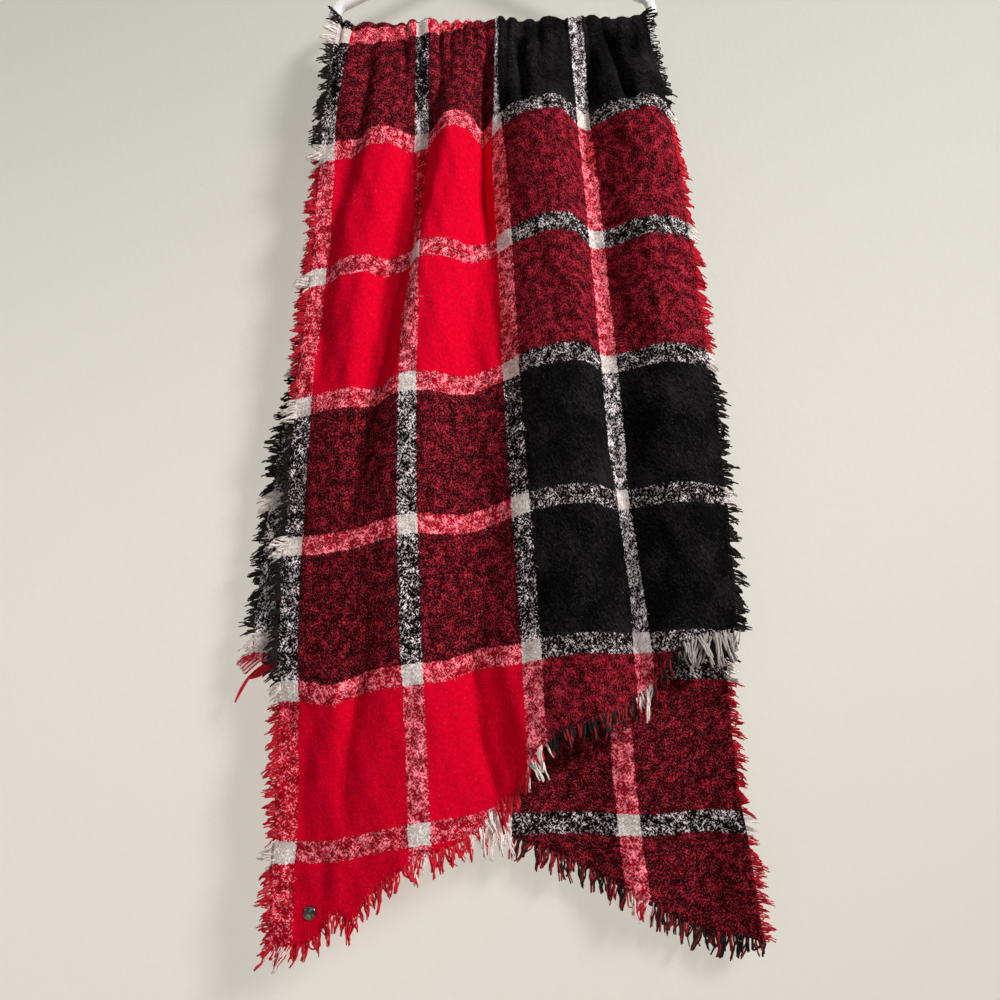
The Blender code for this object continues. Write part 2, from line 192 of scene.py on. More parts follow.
# %% Read a smooth curve through a table
def curve_through(at, stops, values, level=False):
    """Between two stops it is a cubic: value = (1 - rise) * first + rise * second + bends.

    Its slope at a stop is the mean of the two straight slopes beside it, or 0 where level is set,
    so that each stop is the top or the foot of a wave. A wave has broad tops and narrow feet,
    because rise is then bent to 1 - (1 - rise)^ROUNDING on the way up and rise^ROUNDING on the way
    down.
    """
    at = np.asarray(at, float)
    stops = np.broadcast_to(stops, (len(at), np.shape(stops)[-1]))
    values = np.broadcast_to(values, stops.shape)
    secants = np.diff(values) / np.diff(stops)
    slopes = np.hstack([secants[:, :1], (secants[:, :-1] + secants[:, 1:]) / 2, secants[:, -1:]])
    slopes = slopes * (not level)
    first = (at[:, None] >= stops[:, 1:-1]).sum(axis=1)[:, None]

    def pick(table, step):
        return np.take_along_axis(table, first + step, axis=1)[:, 0]

    span = pick(stops, 1) - pick(stops, 0)
    t = np.clip((at - pick(stops, 0)) / span, 0.0, 1.0)
    rise = t * t * (3 - 2 * t)
    if level:
        upwards = pick(values, 1) > pick(values, 0)
        rise = np.where(upwards, 1 - (1 - rise) ** ROUNDING, rise**ROUNDING)
    bends = span * (t * (1 - t) ** 2 * pick(slopes, 0) + t * t * (t - 1) * pick(slopes, 1))
    return (1 - rise) * pick(values, 0) + rise * pick(values, 1) + bends


def rows_at(at, stops, columns):
    """Read each of the columns at the places in at: one row for each place."""
    return np.column_stack([curve_through(at, stops, column) for column in columns])


def ease(t):
    """A soft step from 0 to 1: 3 t^2 - 2 t^3."""
    t = np.clip(t, 0.0, 1.0)
    return t * t * (3 - 2 * t)


# %% [markdown]
# ## Creases
# The large folds are shared with the solids. A real scarf also has finer form: pleats that run down
# from the bar, drag lines between folds, and a wavy hem. Each crease is a soft trough or ridge
# along a line on the hung cloth, noted in a table, and a few slow sines keep the rest uneven.

# %% The creases of both faces
# Each row is a side, the drop at the top and the foot, x at the top, the middle and the foot, the
# width, and the height, which is negative in a trough
CREASES = (
    (FRONT, 0.012, 0.270, -0.166, -0.169, -0.190, 0.010, -0.0125),
    (FRONT, 0.130, 0.520, -0.173, -0.209, -0.220, 0.012, -0.0095),
    (FRONT, 0.012, 0.780, -0.062, -0.123, -0.232, 0.010, -0.0095),
    (FRONT, 0.012, 0.330, -0.006, -0.018, -0.012, 0.008, -0.0140),
    (FRONT, 0.210, 0.540, -0.012, -0.006, 0.012, 0.012, -0.0070),
    (FRONT, 0.012, 0.160, 0.032, 0.034, 0.037, 0.008, -0.0115),
    (FRONT, -0.020, 0.180, 0.139, 0.162, 0.177, 0.008, -0.0125),
    (FRONT, -0.020, 0.130, 0.178, 0.188, 0.200, 0.012, 0.0035),
    (FRONT, 0.060, 1.180, -0.238, -0.256, -0.272, 0.056, -0.0115),
    (FRONT, 0.030, 0.250, 0.128, 0.118, 0.111, 0.009, -0.0100),
    (FRONT, 0.012, 0.080, 0.082, 0.080, 0.078, 0.007, -0.0045),
    (FRONT, 0.012, 0.070, -0.116, -0.114, -0.112, 0.007, -0.0040),
    (FRONT, 0.240, 0.480, 0.052, 0.048, 0.052, 0.015, -0.0030),
    (FRONT, 0.200, 0.540, -0.226, -0.236, -0.244, 0.012, 0.0030),
    (FRONT, 0.260, 0.580, 0.178, 0.186, 0.192, 0.014, 0.0035),
    (FRONT, 0.520, 0.820, 0.060, 0.052, 0.046, 0.016, -0.0040),
    (FRONT, 0.600, 0.860, 0.170, 0.176, 0.184, 0.014, -0.0040),
    (FRONT, 0.790, 0.990, -0.046, -0.038, -0.008, 0.011, -0.0090),
    (FRONT, 0.740, 0.960, -0.012, 0.002, 0.018, 0.013, 0.0050),
    (FRONT, 0.790, 1.010, -0.160, -0.184, -0.192, 0.012, -0.0090),
    (FRONT, 0.860, 1.090, -0.218, -0.236, -0.230, 0.014, -0.0050),
    (FRONT, 0.360, 0.800, -0.171, -0.170, -0.181, 0.020, 0.0040),
    (FRONT, 0.780, 1.120, -0.191, -0.200, -0.198, 0.024, 0.0040),
    (BACK, 0.012, 0.240, -0.150, -0.152, -0.158, 0.010, -0.0085),
    (BACK, 0.012, 0.620, -0.098, -0.122, -0.150, 0.010, -0.0080),
    (BACK, 0.012, 0.170, -0.040, -0.042, -0.046, 0.009, -0.0070),
    (BACK, 0.012, 0.360, 0.020, 0.012, 0.004, 0.010, -0.0085),
    (BACK, 0.012, 0.150, 0.070, 0.072, 0.074, 0.009, -0.0070),
    (BACK, 0.012, 0.560, 0.118, 0.124, 0.134, 0.010, -0.0085),
    (BACK, 0.012, 0.150, 0.164, 0.168, 0.174, 0.008, -0.0065),
    (BACK, 0.300, 0.700, -0.060, -0.066, -0.076, 0.016, 0.0040),
    (BACK, 0.420, 0.800, 0.064, 0.060, 0.062, 0.015, 0.0040),
    (BACK, 0.560, 0.940, -0.224, -0.236, -0.250, 0.014, -0.0045),
    (BACK, 0.640, 1.000, -0.008, -0.014, -0.020, 0.013, -0.0050),
    (BACK, 0.700, 1.080, 0.168, 0.176, 0.190, 0.014, -0.0045),
)

# %% Tucks, slack and waves
# A tuck is a side, across, the drop at its top and foot, its width, and how far it pulls
TUCKS = (
    (FRONT, 0.311, -0.100, 0.200, 0.011, 0.0080),
    (FRONT, 0.161, 0.220, 0.430, 0.011, 0.0055),
    (FRONT, 0.461, 0.560, 0.840, 0.011, 0.0040),
    (BACK, 0.311, -0.100, 0.200, 0.011, 0.0080),
)
SLACK_REACH = 0.080
# A slack place is a side, x, the drop, its width, and how far the weft sags
SLACKS = (
    (FRONT, -0.020, 0.165, 0.018, 0.006),
    (FRONT, 0.065, 0.165, 0.025, 0.006),
    (FRONT, 0.150, 0.330, 0.060, 0.006),
    (FRONT, -0.200, 0.660, 0.050, 0.005),
    (FRONT, -0.200, 0.825, 0.030, 0.010),
    (FRONT, -0.035, 0.825, 0.032, -0.009),
    (FRONT, -0.210, 0.990, 0.070, 0.009),
)
# A wave is how many run across the panel, how many on a metre along, its phase and its height
SLOW_WAVES = (
    (3.1, 2.3, 0.4, 0.0010),
    (-5.3, 4.1, 2.1, 0.0008),
    (8.7, 3.3, 4.0, 0.0007),
    (-11.9, 7.7, 1.2, 0.0006),
    (17.3, 11.1, 5.2, 0.0005),
    (23.9, -15.7, 3.3, 0.0004),
)
HEM_WAVES = (
    (0.0, 9.1, 0.7, 0.0022),
    (0.0, 15.7, 2.9, 0.0014),
    (0.0, 27.3, 4.4, 0.0008),
)
HEM_REACH = 0.045
PLEAT_TOP = 0.012
PLEAT_FADE = 0.012
TUCK_REACH = 0.06
print("creases:", len(CREASES), "tucks:", len(TUCKS), "slack places:", len(SLACKS))


# %% Add the fine form up
def creases(x, drop, side):
    """Add up all creases: height * exp(-(distance to the line / width)^2), faded at both ends.

    A crease's line is the parabola through x_top, x_mid and x_low at even steps of its share.
    """
    total = np.zeros(len(x))
    for crease_side, drop_top, drop_low, x_top, x_mid, x_low, width, height in CREASES:
        share = (drop - drop_top) / (drop_low - drop_top)
        line = (
            x_top * (1 - share) * (1 - 2 * share)
            + x_mid * 4 * share * (1 - share)
            + x_low * share * (2 * share - 1)
        )
        fade = ease(share / 0.15) * ease((1.0 - share) / 0.40)
        bump = height * np.exp(-(((x - line) / width) ** 2)) * fade
        total += np.where(side == crease_side, bump, 0.0)
    return total


def tucks(across, drop, side):
    """How far cloth slides sideways into a tuck: -pull * tanh(offset / width), faded all round."""
    total = np.zeros(len(across))
    for tuck_side, centre, drop_top, drop_low, width, pull in TUCKS:
        offset = across - centre
        share = (drop - drop_top) / (drop_low - drop_top)
        fade = ease(share / 0.25) * ease((1.0 - share) / 0.4) * np.exp(-((offset / TUCK_REACH) ** 2))
        total += np.where(side == tuck_side, -pull * np.tanh(offset / width) * fade, 0.0)
    return total


def slack(x, drop, side):
    """How far the weft sags at loose places: sag * exp(-(x's offset / width)^2 - (drop's / reach)^2)."""
    total = np.zeros(len(x))
    for slack_side, centre, level, width, sag in SLACKS:
        bump = sag * np.exp(-(((x - centre) / width) ** 2) - ((drop - level) / SLACK_REACH) ** 2)
        total += np.where(side == slack_side, bump, 0.0)
    return total


def waves(table, across, along):
    """Add up slow sines: height * sin(2 pi (waves_across * across + waves_along * along) + phase)."""
    total = np.zeros(len(across))
    for rate, run, phase, height in table:
        total += height * np.sin(2 * np.pi * (rate * across / WIDTH + run * along) + phase)
    return total


def hem_share(across):
    """1 on the panel's two sides, falling to 0 a hem's width inside them."""
    return np.exp(-((np.minimum(across, WIDTH - across) / HEM_REACH) ** 2))


# %% Hang the panel over the bar
def sideways(across, drop, side):
    """Where a warp line hangs, left or right of the hook."""
    drops, *lines = zip(*LINES[side])
    return curve_through(across, WARP_LINES, rows_at(drop, drops, lines))


def fold_reach(x, drop, side):
    """How far the large folds stand out from the bar's plane."""
    places = rows_at(drop, FOLD_DROPS, [fold[1:4] for fold in FOLDS[side]])
    reaches = rows_at(drop, FOLD_DROPS, [fold[4:7] for fold in FOLDS[side]])
    return curve_through(x, places, reaches, level=True)


def gather(across, drop):
    """Small gathers on the bar, fading below it: a sine with sharp valleys, on slower lumps.

    It is cut off at -1, where the cloth is pressed against the bar, and the right hem lies flat.
    """
    turn = 2 * np.pi * across / WIDTH
    phase = GATHERS * turn + 2.1 * np.sin(2 * turn + 1.0) + 1.5 * np.sin(5 * turn) + 0.7 * np.sin(9 * turn)
    crest = (0.75 + 0.35 * np.sin(3 * turn + 2.0)) * (np.sin(phase) + 0.25 * np.cos(2 * phase))
    lumps = 0.50 * np.sin(4 * turn + 0.8) + 0.45 * np.sin(7 * turn + 2.4)
    pressed = np.maximum(crest + lumps, -1.0)
    flat_hem = 1 - 0.85 * np.exp(-(((WIDTH - across) / HEM_REACH) ** 2))
    return GATHER_DEPTH * pressed * flat_hem * np.exp(-((drop / GATHER_REACH) ** 2))


def bar_lift(x):
    """How much higher the cloth lies where the bar's ends bend upwards."""
    bend = np.arcsin(np.clip((np.abs(x) - BAR_HALF) / END_RADIUS, 0.0, 0.95))
    return END_RADIUS * (1 - np.cos(bend)) + BAR_RADIUS * (1 / np.cos(bend) - 1)


def on_bar(across):
    """Which weft lies on top of the bar."""
    return curve_through(across, *zip(*ON_BAR))


def cut_end(across, side):
    """Where the front or the back end is cut."""
    return curve_through(across, *zip(*ENDS[side]))


def slide(across):
    """How far the gathers have let the weft slide close to the bar."""
    return curve_through(across, *zip(*SLIDES))


# %% Any place of the cloth
def cloth_point(across, along):
    """Hang places of the flat panel over the bar; returns (x, y, z) rows.

    Close to the bar the gathers have let the weft slide a little towards the back or the front.
    Over the bar a place turns round it. Below, it drops straight down and stands out by the folds,
    the gathers, the creases and the hem's waves. What stands out takes up a little height.
    """
    across, along = np.broadcast_arrays(np.asarray(across, float), np.asarray(along, float))
    shape = across.shape
    across, along = across.ravel(), along.ravel()
    past_top = along - on_bar(across)
    past_top = past_top - slide(across) * np.exp(-((past_top / SLIDE_REACH) ** 2))
    front = past_top >= 0
    turn = np.minimum(np.abs(past_top) / TURN_RADIUS, np.pi / 2)
    drop = np.maximum(np.abs(past_top) - QUARTER_TURN, 0) * np.where(front, 1.0, BACK_STRETCH)
    facing = np.where(front, FRONT, BACK)
    x = np.where(front, sideways(across, drop, FRONT), sideways(across, drop, BACK))
    x = x + tucks(across, drop, facing)
    folds = np.where(front, fold_reach(x, drop, FRONT), fold_reach(x, drop, BACK))
    swell = (folds - TURN_RADIUS) * ease((drop - FOLD_TOP) / (FOLD_FULL - FOLD_TOP))
    ripple = gather(across, drop)
    fine = creases(x, drop, facing)
    fine += waves(SLOW_WAVES, across, along) + hem_share(across) * waves(HEM_WAVES, across, along)
    fine *= ease((drop - PLEAT_TOP) / PLEAT_FADE)
    out = (TURN_RADIUS + ripple) * np.sin(turn) + swell + fine
    lift = bar_lift(x) * (1 - ease(drop / LIFT_FADE))
    z = BAR_HEIGHT + lift + (TURN_RADIUS + ripple) * np.cos(turn) - drop + FOLD_TAKE_UP * swell**2
    z -= slack(x, drop, facing)
    return np.column_stack([x, np.where(front, -out, out), z]).reshape(*shape, 3)


def unit(rows):
    """Scale every row to length 1."""
    return rows / np.linalg.norm(rows, axis=-1, keepdims=True)


FEELER = 0.002


def surface_at(across, along):
    """A place on the hung cloth, and its unit directions: right, down the front, and outwards."""
    here = cloth_point(across, along)
    right = cloth_point(across + FEELER, along) - cloth_point(across - FEELER, along)
    forth = cloth_point(across, along + FEELER) - cloth_point(across, along - FEELER)
    outward = unit(np.cross(forth, right))
    return here, unit(right), unit(forth), outward


left_front_corner = cloth_point(0.0, cut_end([0.0], FRONT))[0]
print("the front's left corner hangs at", np.round(left_front_corner, 3))


# %% [markdown]
# ## From arrays to meshes
# Every piece below is worked out with numpy as a grid of points, or as many small tubes at once.
# Two helpers put the arrays into a mesh. The cloth's own place, (across, along) in metres, goes in
# the mesh's UV map, so the plaid can be woven into the shader at its real size.

# %% Put arrays into meshes
def mesh_from(name, points, faces, places=None, facts=None):
    """Make an object from points, faces, a flat place for every point, and named numbers."""
    mesh = bpy.data.meshes.new(name)
    mesh.from_pydata(points.tolist(), [], faces.tolist())
    if places is not None:
        layer = mesh.uv_layers.new(name="flat_place")
        corner_points = np.empty(len(mesh.loops), dtype=np.int32)
        mesh.loops.foreach_get("vertex_index", corner_points)
        layer.data.foreach_set("uv", places[corner_points].astype(np.float32).ravel())
    for label, numbers in (facts or {}).items():
        mesh.attributes.new(label, "FLOAT", "POINT").data.foreach_set("value", numbers.astype(np.float32))
    mesh.shade_smooth()
    piece = bpy.data.objects.new(name, mesh)
    bpy.context.scene.collection.objects.link(piece)
    return piece


def grid_faces(rows, columns, closed_rows=False, closed_columns=False):
    """The quads of a grid whose points run along each row in turn; a closed way joins its ends."""
    row = np.arange(rows if closed_rows else rows - 1)[:, None]
    column = np.arange(columns if closed_columns else columns - 1)[None, :]
    next_row, next_column = (row + 1) % rows, (column + 1) % columns
    corners = (
        row * columns + column,
        row * columns + next_column,
        next_row * columns + next_column,
        next_row * columns + column,
    )
    return np.stack(np.broadcast_arrays(*corners), axis=-1).reshape(-1, 4)


def finish_piece(piece, finish, slot, *nodes):
    """Give a piece its material, let it ride on the one body, and hide the solids that it stands for."""
    piece.data.materials.append(finish)
    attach(piece, "root")
    if nodes:
        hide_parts(*nodes)
    print(piece.name, "has", len(piece.data.polygons), "faces")


# %% [markdown]
# ## Shader groups
# The plaid follows a simple rule: a warp colour that depends only on across, a weft colour that
# depends only on along, and a weave that says which of the two shows. So one group works out the
# two yarn colours, a second works out the weave, and the cloth, the fringe and the loose nap all
# share them. This keeps every thread of the fringe in the colour of the row that it leaves. Such a
# rule is a formula, and a small class lets it be written as one in Python: each sign places a node.

# %% Write formulas in nodes
class Wire:
    """What runs between two nodes. With + - * < > and abs, each step of a formula is a Math node."""

    def __init__(self, socket):
        self.socket, self.tree = socket, socket.id_data

    def __add__(self, other):
        return calculate("ADD", self, other)

    def __sub__(self, other):
        return calculate("SUBTRACT", self, other)

    def __rsub__(self, other):
        return calculate("SUBTRACT", other, self)

    def __mul__(self, other):
        return calculate("MULTIPLY", self, other)

    def __lt__(self, other):
        return calculate("LESS_THAN", self, other)

    def __gt__(self, other):
        return calculate("GREATER_THAN", self, other)

    def __abs__(self):
        return calculate("ABSOLUTE", self)


# %% Place and feed nodes
def feed(sockets, values):
    """Feed named sockets: join a wire to each, or set the socket's own value."""
    for label, value in values.items():
        if isinstance(value, Wire):
            value.tree.links.new(value.socket, sockets[label])
        else:
            sockets[label].default_value = value


def add_node(tree, kind, inputs=None, **settings):
    """Place a node, set its options and feed its inputs."""
    node = tree.nodes.new(kind)
    for label, value in settings.items():
        setattr(node, label, value)
    feed(node.inputs, inputs or {})
    return node


def wire(tree, kind, output, inputs=None, **settings):
    """Place a node and return one of its outputs."""
    return Wire(add_node(tree, kind, inputs, **settings).outputs[output])


def wires_of(node):
    """All outputs of a node by name."""
    return {socket.name: Wire(socket) for socket in node.outputs}


def calculate(operation, *values):
    """One Math node."""
    tree = next(value.tree for value in values if isinstance(value, Wire))
    return wire(tree, "ShaderNodeMath", 0, dict(enumerate(values)), operation=operation)


def larger(first, second):
    """The larger of two values."""
    return calculate("MAXIMUM", first, second)


def smaller(first, second):
    """The smaller of two values."""
    return calculate("MINIMUM", first, second)


# %% Steps, noise, colours and bumps
def soft_step(value, start, stop, low=0.0, high=1.0):
    """A soft step of value: low at start, high at stop."""
    inputs = {"Value": value, "From Min": start, "From Max": stop, "To Min": low, "To Max": high}
    return wire(value.tree, "ShaderNodeMapRange", "Result", inputs, interpolation_type="SMOOTHSTEP")


def noise(place, scale, detail=2.0, distortion=0.0):
    """Noise between 0 and 1 whose grains are 1 / scale metres."""
    inputs = {"Vector": place, "Scale": scale, "Detail": detail, "Distortion": distortion}
    return wire(place.tree, "ShaderNodeTexNoise", "Fac", inputs)


def mix_colours(share, first, second):
    """Blend two colours: first where share is 0, second where it is 1."""
    return wire(share.tree, "ShaderNodeMix", 2, {0: share, 6: first, 7: second}, data_type="RGBA")


def scaled(colour, share):
    """A colour times a number."""
    inputs = {0: colour, "Scale": share}
    return wire(colour.tree, "ShaderNodeVectorMath", 0, inputs, operation="SCALE")


def bump(height, strength, distance):
    """The normal of a surface with small heights on it."""
    inputs = {"Height": height, "Strength": strength, "Distance": distance}
    return wire(height.tree, "ShaderNodeBump", "Normal", inputs)


def xyz_of(place):
    """The three parts of a place, as X, Y and Z."""
    return wires_of(add_node(place.tree, "ShaderNodeSeparateXYZ", {"Vector": place}))


def new_group(name, inputs, outputs):
    """A shader group with named sockets: inputs are (name, type, value), outputs are (name, type).

    Returns what is given to the group, as wires by name, the sockets of its result, and its tree.
    """
    tree = bpy.data.node_groups.new(name, "ShaderNodeTree")
    for label, kind, value in inputs:
        socket = tree.interface.new_socket(label, in_out="INPUT", socket_type=kind)
        if value is not None:
            socket.default_value = value
    for label, kind in outputs:
        tree.interface.new_socket(label, in_out="OUTPUT", socket_type=kind)
    return wires_of(tree.nodes.new("NodeGroupInput")), tree.nodes.new("NodeGroupOutput").inputs, tree


# %% Yarn colours of the plaid
RED = (0.70, 0.0004, 0.0225, 1.0)
BLACK = (0.0021, 0.0019, 0.0020, 1.0)
CREAM = (0.95, 0.84, 0.79, 1.0)
LINT = (0.037, 0.034, 0.036, 1.0)
PINK_FLECK = (0.46, 0.095, 0.135, 1.0)
WEFT_CREAM = (0.36, 0.320, 0.335, 1.0)
# A pair's ground, where the darker yarn shows, and its dashes, where the lighter one does
BRUSHED_PAIRS = {
    "red on black": ((0.032, 0.0003, 0.0010, 1.0), (0.300, 0.0058, 0.0185, 1.0)),
    "cream on black": ((0.008, 0.0040, 0.0050, 1.0), (0.86, 0.760, 0.790, 1.0)),
    "cream on red": ((0.54, 0.0020, 0.0170, 1.0), (0.97, 0.300, 0.370, 1.0)),
    "cream on cream": ((0.58, 0.490, 0.455, 1.0), (0.95, 0.870, 0.830, 1.0)),
}
WARP_STRIPE = 0.0250
WEFT_STRIPE = 0.0225
STRIPE_WOBBLE = 0.0055
HAIR_GRAIN = 330.0
# How far a covering yarn's fibres hide the dashes, and how that is shared out
VEIL = 0.050
UNDER_CREAM_WEFT = 0.70
UNDER_CREAM_WARP = 0.35
WEFT_AHEAD_VEIL = 0.060
WEFT_AHEAD_DULLS = 0.40
# Where a cream warp stripe is hidden. It is mostly painted shade near the bar, down the left hem and
# along fold valleys, and partly a stripe sunk in a tuck: across, the stretch along it from and to, and how
# deep
SUNK_AND_SHADED_PARTS = (
    (0.0125, -0.08, 0.12, 0.100),
    (0.0125, 0.18, 0.49, 0.030),
    (0.0125, 0.49, 0.82, 0.042),
    (0.0125, 0.82, 1.12, 0.055),
    (0.1625, -0.06, 0.13, 0.100),
    (0.1625, 0.17, 0.31, 0.130),
    (0.1625, 0.50, 0.66, 0.020),
    (0.1625, 0.67, 0.82, 0.045),
    (0.3125, 0.50, 0.67, 0.070),
    (0.3125, 0.66, 0.82, 0.055),
)
FALL_BEHIND_STARTS = -0.06
print("pairs of unlike yarns:", ", ".join(BRUSHED_PAIRS))


# %% Where each pair of yarns crosses
def stripe_mask(at, centre, spacing, stripe, wobble):
    """1 on a stripe that repeats: where |wrapped distance to its centre| is under half its width."""
    wrapped = calculate("WRAP", at - (centre - spacing / 2), spacing, 0.0)
    return abs(wrapped - spacing / 2) + wobble < stripe / 2


def yarn_rank(cream, red):
    """How light a yarn is: 0 for black, 1 for red, 2 for cream."""
    return cream * (2.0 - red) + red


def pair_masks(contrast, darker):
    """1 where each of the brushed pairs crosses, from how far apart their ranks are."""
    one_apart = contrast * (2.0 - contrast)
    two_apart = contrast * (contrast - 1.0)
    return one_apart * (1.0 - darker), larger(two_apart * 0.5, 0.0), one_apart * darker, darker > 1.5


def sunk_and_shaded_stripes(across, along):
    """How far a cream warp stripe is hidden: sunk under the weft in a tuck, and painted shade near the bar,
    down the left hem and along a fold's foot.
    """
    deepest = 0.0
    for centre, starts, stops, depth in SUNK_AND_SHADED_PARTS:
        beside = soft_step(abs(across - centre), 0.020, 0.013)
        upper = soft_step(along, starts, starts + 0.02)
        lower = soft_step(along, stops, stops - 0.03, 0.0, depth)
        deepest = larger(deepest, beside * (upper * lower))
    return deepest


# %% The plaid's group
def plaid_group():
    """The yarns at a place.

    Warp and Weft are loose yarns' colours. Ground and Dash are the darker and the lighter yarn as
    they look once they are brushed together. Mixed is 1 where the two differ, Maroon is 1 where they
    are red and black, Coal is 1 where both are black, and Veil is how much the darker yarn's fibres
    hide the lighter one: more under a black weft or a cream one, and on the fall behind, which
    shows its reverse. Veil also carries painted shade: cream warp stripes are hidden more near the
    bar, down the left hem and along fold valleys, where shade falls.
    """
    colours = ("Warp Colour", "Weft Colour", "Ground Colour", "Dash Colour")
    shares = ("Mixed", "Maroon", "Coal", "Veil")
    outputs = [(label, "NodeSocketColor") for label in colours]
    outputs += [(label, "NodeSocketFloat") for label in shares]
    given, result, tree = new_group("plaid_yarns", [("Place", "NodeSocketVector", None)], outputs)
    place = given["Place"]
    parts = xyz_of(place)
    across, along = parts["X"], parts["Y"]
    wobble = (noise(place, HAIR_GRAIN, 1.0) - 0.5) * STRIPE_WOBBLE
    warp_cream = stripe_mask(across, FIRST_STRIPE, COLUMN, WARP_STRIPE, wobble)
    weft_cream = stripe_mask(along, 0.0, ROW, WEFT_STRIPE, wobble)
    warp_red = across < RED_COLUMNS_END
    weft_red = calculate("WRAP", along + ROW, 4 * ROW, 0.0) > 2 * ROW
    warp = mix_colours(warp_cream, mix_colours(warp_red, BLACK, RED), CREAM)
    weft = mix_colours(weft_cream, mix_colours(weft_red, BLACK, RED), CREAM)
    warp_rank, weft_rank = yarn_rank(warp_cream, warp_red), yarn_rank(weft_cream, weft_red)
    lead = warp_rank - weft_rank
    contrast = abs(lead)
    masks = pair_masks(contrast, smaller(warp_rank, weft_rank))
    maroon, cream_on_red = masks[0], masks[2]
    ground = dash = warp
    for mask, (ground_colour, dash_colour) in zip(masks, BRUSHED_PAIRS.values()):
        ground = mix_colours(mask, ground, ground_colour)
        dash = mix_colours(mask, dash, dash_colour)
    weft_ahead = larger(-1.0 - lead, 0.0)
    warp_ahead = larger(warp_cream - weft_cream, 0.0)
    hidden = maroon * larger(lead > 0.0, along < FALL_BEHIND_STARTS)
    hidden = hidden + cream_on_red * (lead < 0.0) * UNDER_CREAM_WEFT + warp_ahead * UNDER_CREAM_WARP
    results = {
        "Warp Colour": warp,
        "Weft Colour": weft,
        "Ground Colour": ground,
        "Dash Colour": mix_colours(weft_ahead * WEFT_AHEAD_DULLS, dash, WEFT_CREAM),
        "Mixed": smaller(contrast, 1.0),
        "Maroon": maroon,
        "Coal": larger(1.0 - (warp_rank + weft_rank), 0.0),
        # the stripes' share of Veil is mostly painted shade near the bar, down the left hem and in fold
        # valleys
        "Veil": hidden * VEIL + sunk_and_shaded_stripes(across, along) + weft_ahead * WEFT_AHEAD_VEIL,
    }
    feed(result, results)
    return tree


# %% The brushed weave
SLANT = np.pi / 4
DASH_SIZE = (0.0017, 0.0040)
FLECK_SIZE = (0.0013, 0.0024)
STREAK_SIZE = (0.0022, 0.0090)
BLOTCH_GRAIN = 92.0
BLOTCH_SHARE = 0.36
DASH_LIMITS = (0.51, 0.63)


def slanted(place, turn, width, length):
    """The place in a frame turned by an angle, counted in widths one way and lengths the other."""
    size = wire(place.tree, "ShaderNodeCombineXYZ", 0, {"X": width, "Y": length, "Z": 1.0})
    inputs = {"Vector": place, "Rotation": (0.0, 0.0, turn), "Scale": size}
    return wire(place.tree, "ShaderNodeMapping", "Vector", inputs, vector_type="TEXTURE")


def weave_group():
    """Which yarn shows: the lighter one in short slanted dashes, closer together in slow blotches.

    The dashes are the larger of two noises, one stretched along each slant, so that they cross, and
    Veil moves the limit between dash and ground. Flecks are single lighter hairs, and Streaks are
    long fibres combed down and to one side. Tone is how bright the fibres are, most in a blotch.
    """
    width, length = DASH_SIZE
    numbers = (("Veil", 0.0), ("Mixed", 0.0), ("Dash Width", width), ("Dash Length", length))
    inputs = [("Place", "NodeSocketVector", None)]
    inputs += [(label, "NodeSocketFloat", value) for label, value in numbers]
    labels = ("Dash Shows", "Flecks", "Height", "Tone", "Streaks")
    outputs = [(label, "NodeSocketFloat") for label in labels]
    given, result, tree = new_group("brushed_weave", inputs, outputs)
    place = given["Place"]
    rising, falling = (
        noise(slanted(place, turn, given["Dash Width"], given["Dash Length"]), 1.0, 1.0, 0.3)
        for turn in (SLANT, -SLANT)
    )
    dashes = larger(rising, falling)
    blotch = noise(place, BLOTCH_GRAIN, 2.5) - 0.5
    hairs = noise(slanted(place, SLANT, *FLECK_SIZE), 1.0, 0.0)
    combed = noise(slanted(place, -SLANT, *STREAK_SIZE), 1.0, 2.0, 0.6)
    fibre = soft_step(noise(place, 210.0, 3.0, 0.4), 0.30, 0.72, -0.13, 0.07)
    glow = soft_step(blotch, -0.16, 0.20, -0.40, 0.36) * given["Mixed"]
    results = {
        "Dash Shows": soft_step(dashes + blotch * BLOTCH_SHARE - given["Veil"], *DASH_LIMITS),
        "Flecks": soft_step(hairs, 0.50, 0.78),
        "Height": soft_step(dashes, 0.40, 0.75),
        "Tone": fibre + 1.0 + (glow + (combed - 0.5) * 0.25),
        "Streaks": combed,
    }
    feed(result, results)
    return tree


# %% Build both groups once
PLAID = plaid_group()
WEAVE = weave_group()
print("shader groups:", PLAID.name, WEAVE.name)


# %% [markdown]
# ## The cloth's finish
# The finish only joins the two groups: dash or ground, then lint, then tone. The nap is matt, so its
# gloss is next to nothing, and a shallow bump lets the dashes catch the light. The fringe and the
# loose nap read the same plaid, each strand at the place of its root.

# %% Start a material
def start_material(name, constants):
    """A new material, its tree and its Principled BSDF, with constants set on its own sockets."""
    finish = bpy.data.materials.new(name)
    finish.use_nodes = True
    shader = finish.node_tree.nodes["Principled BSDF"]
    feed(shader.inputs, constants)
    return finish, finish.node_tree, shader


def use_group(group, inputs):
    """Place a group beside the node that gives it its place; returns its outputs by name."""
    return wires_of(add_node(inputs["Place"].tree, "ShaderNodeGroup", inputs, node_tree=group))


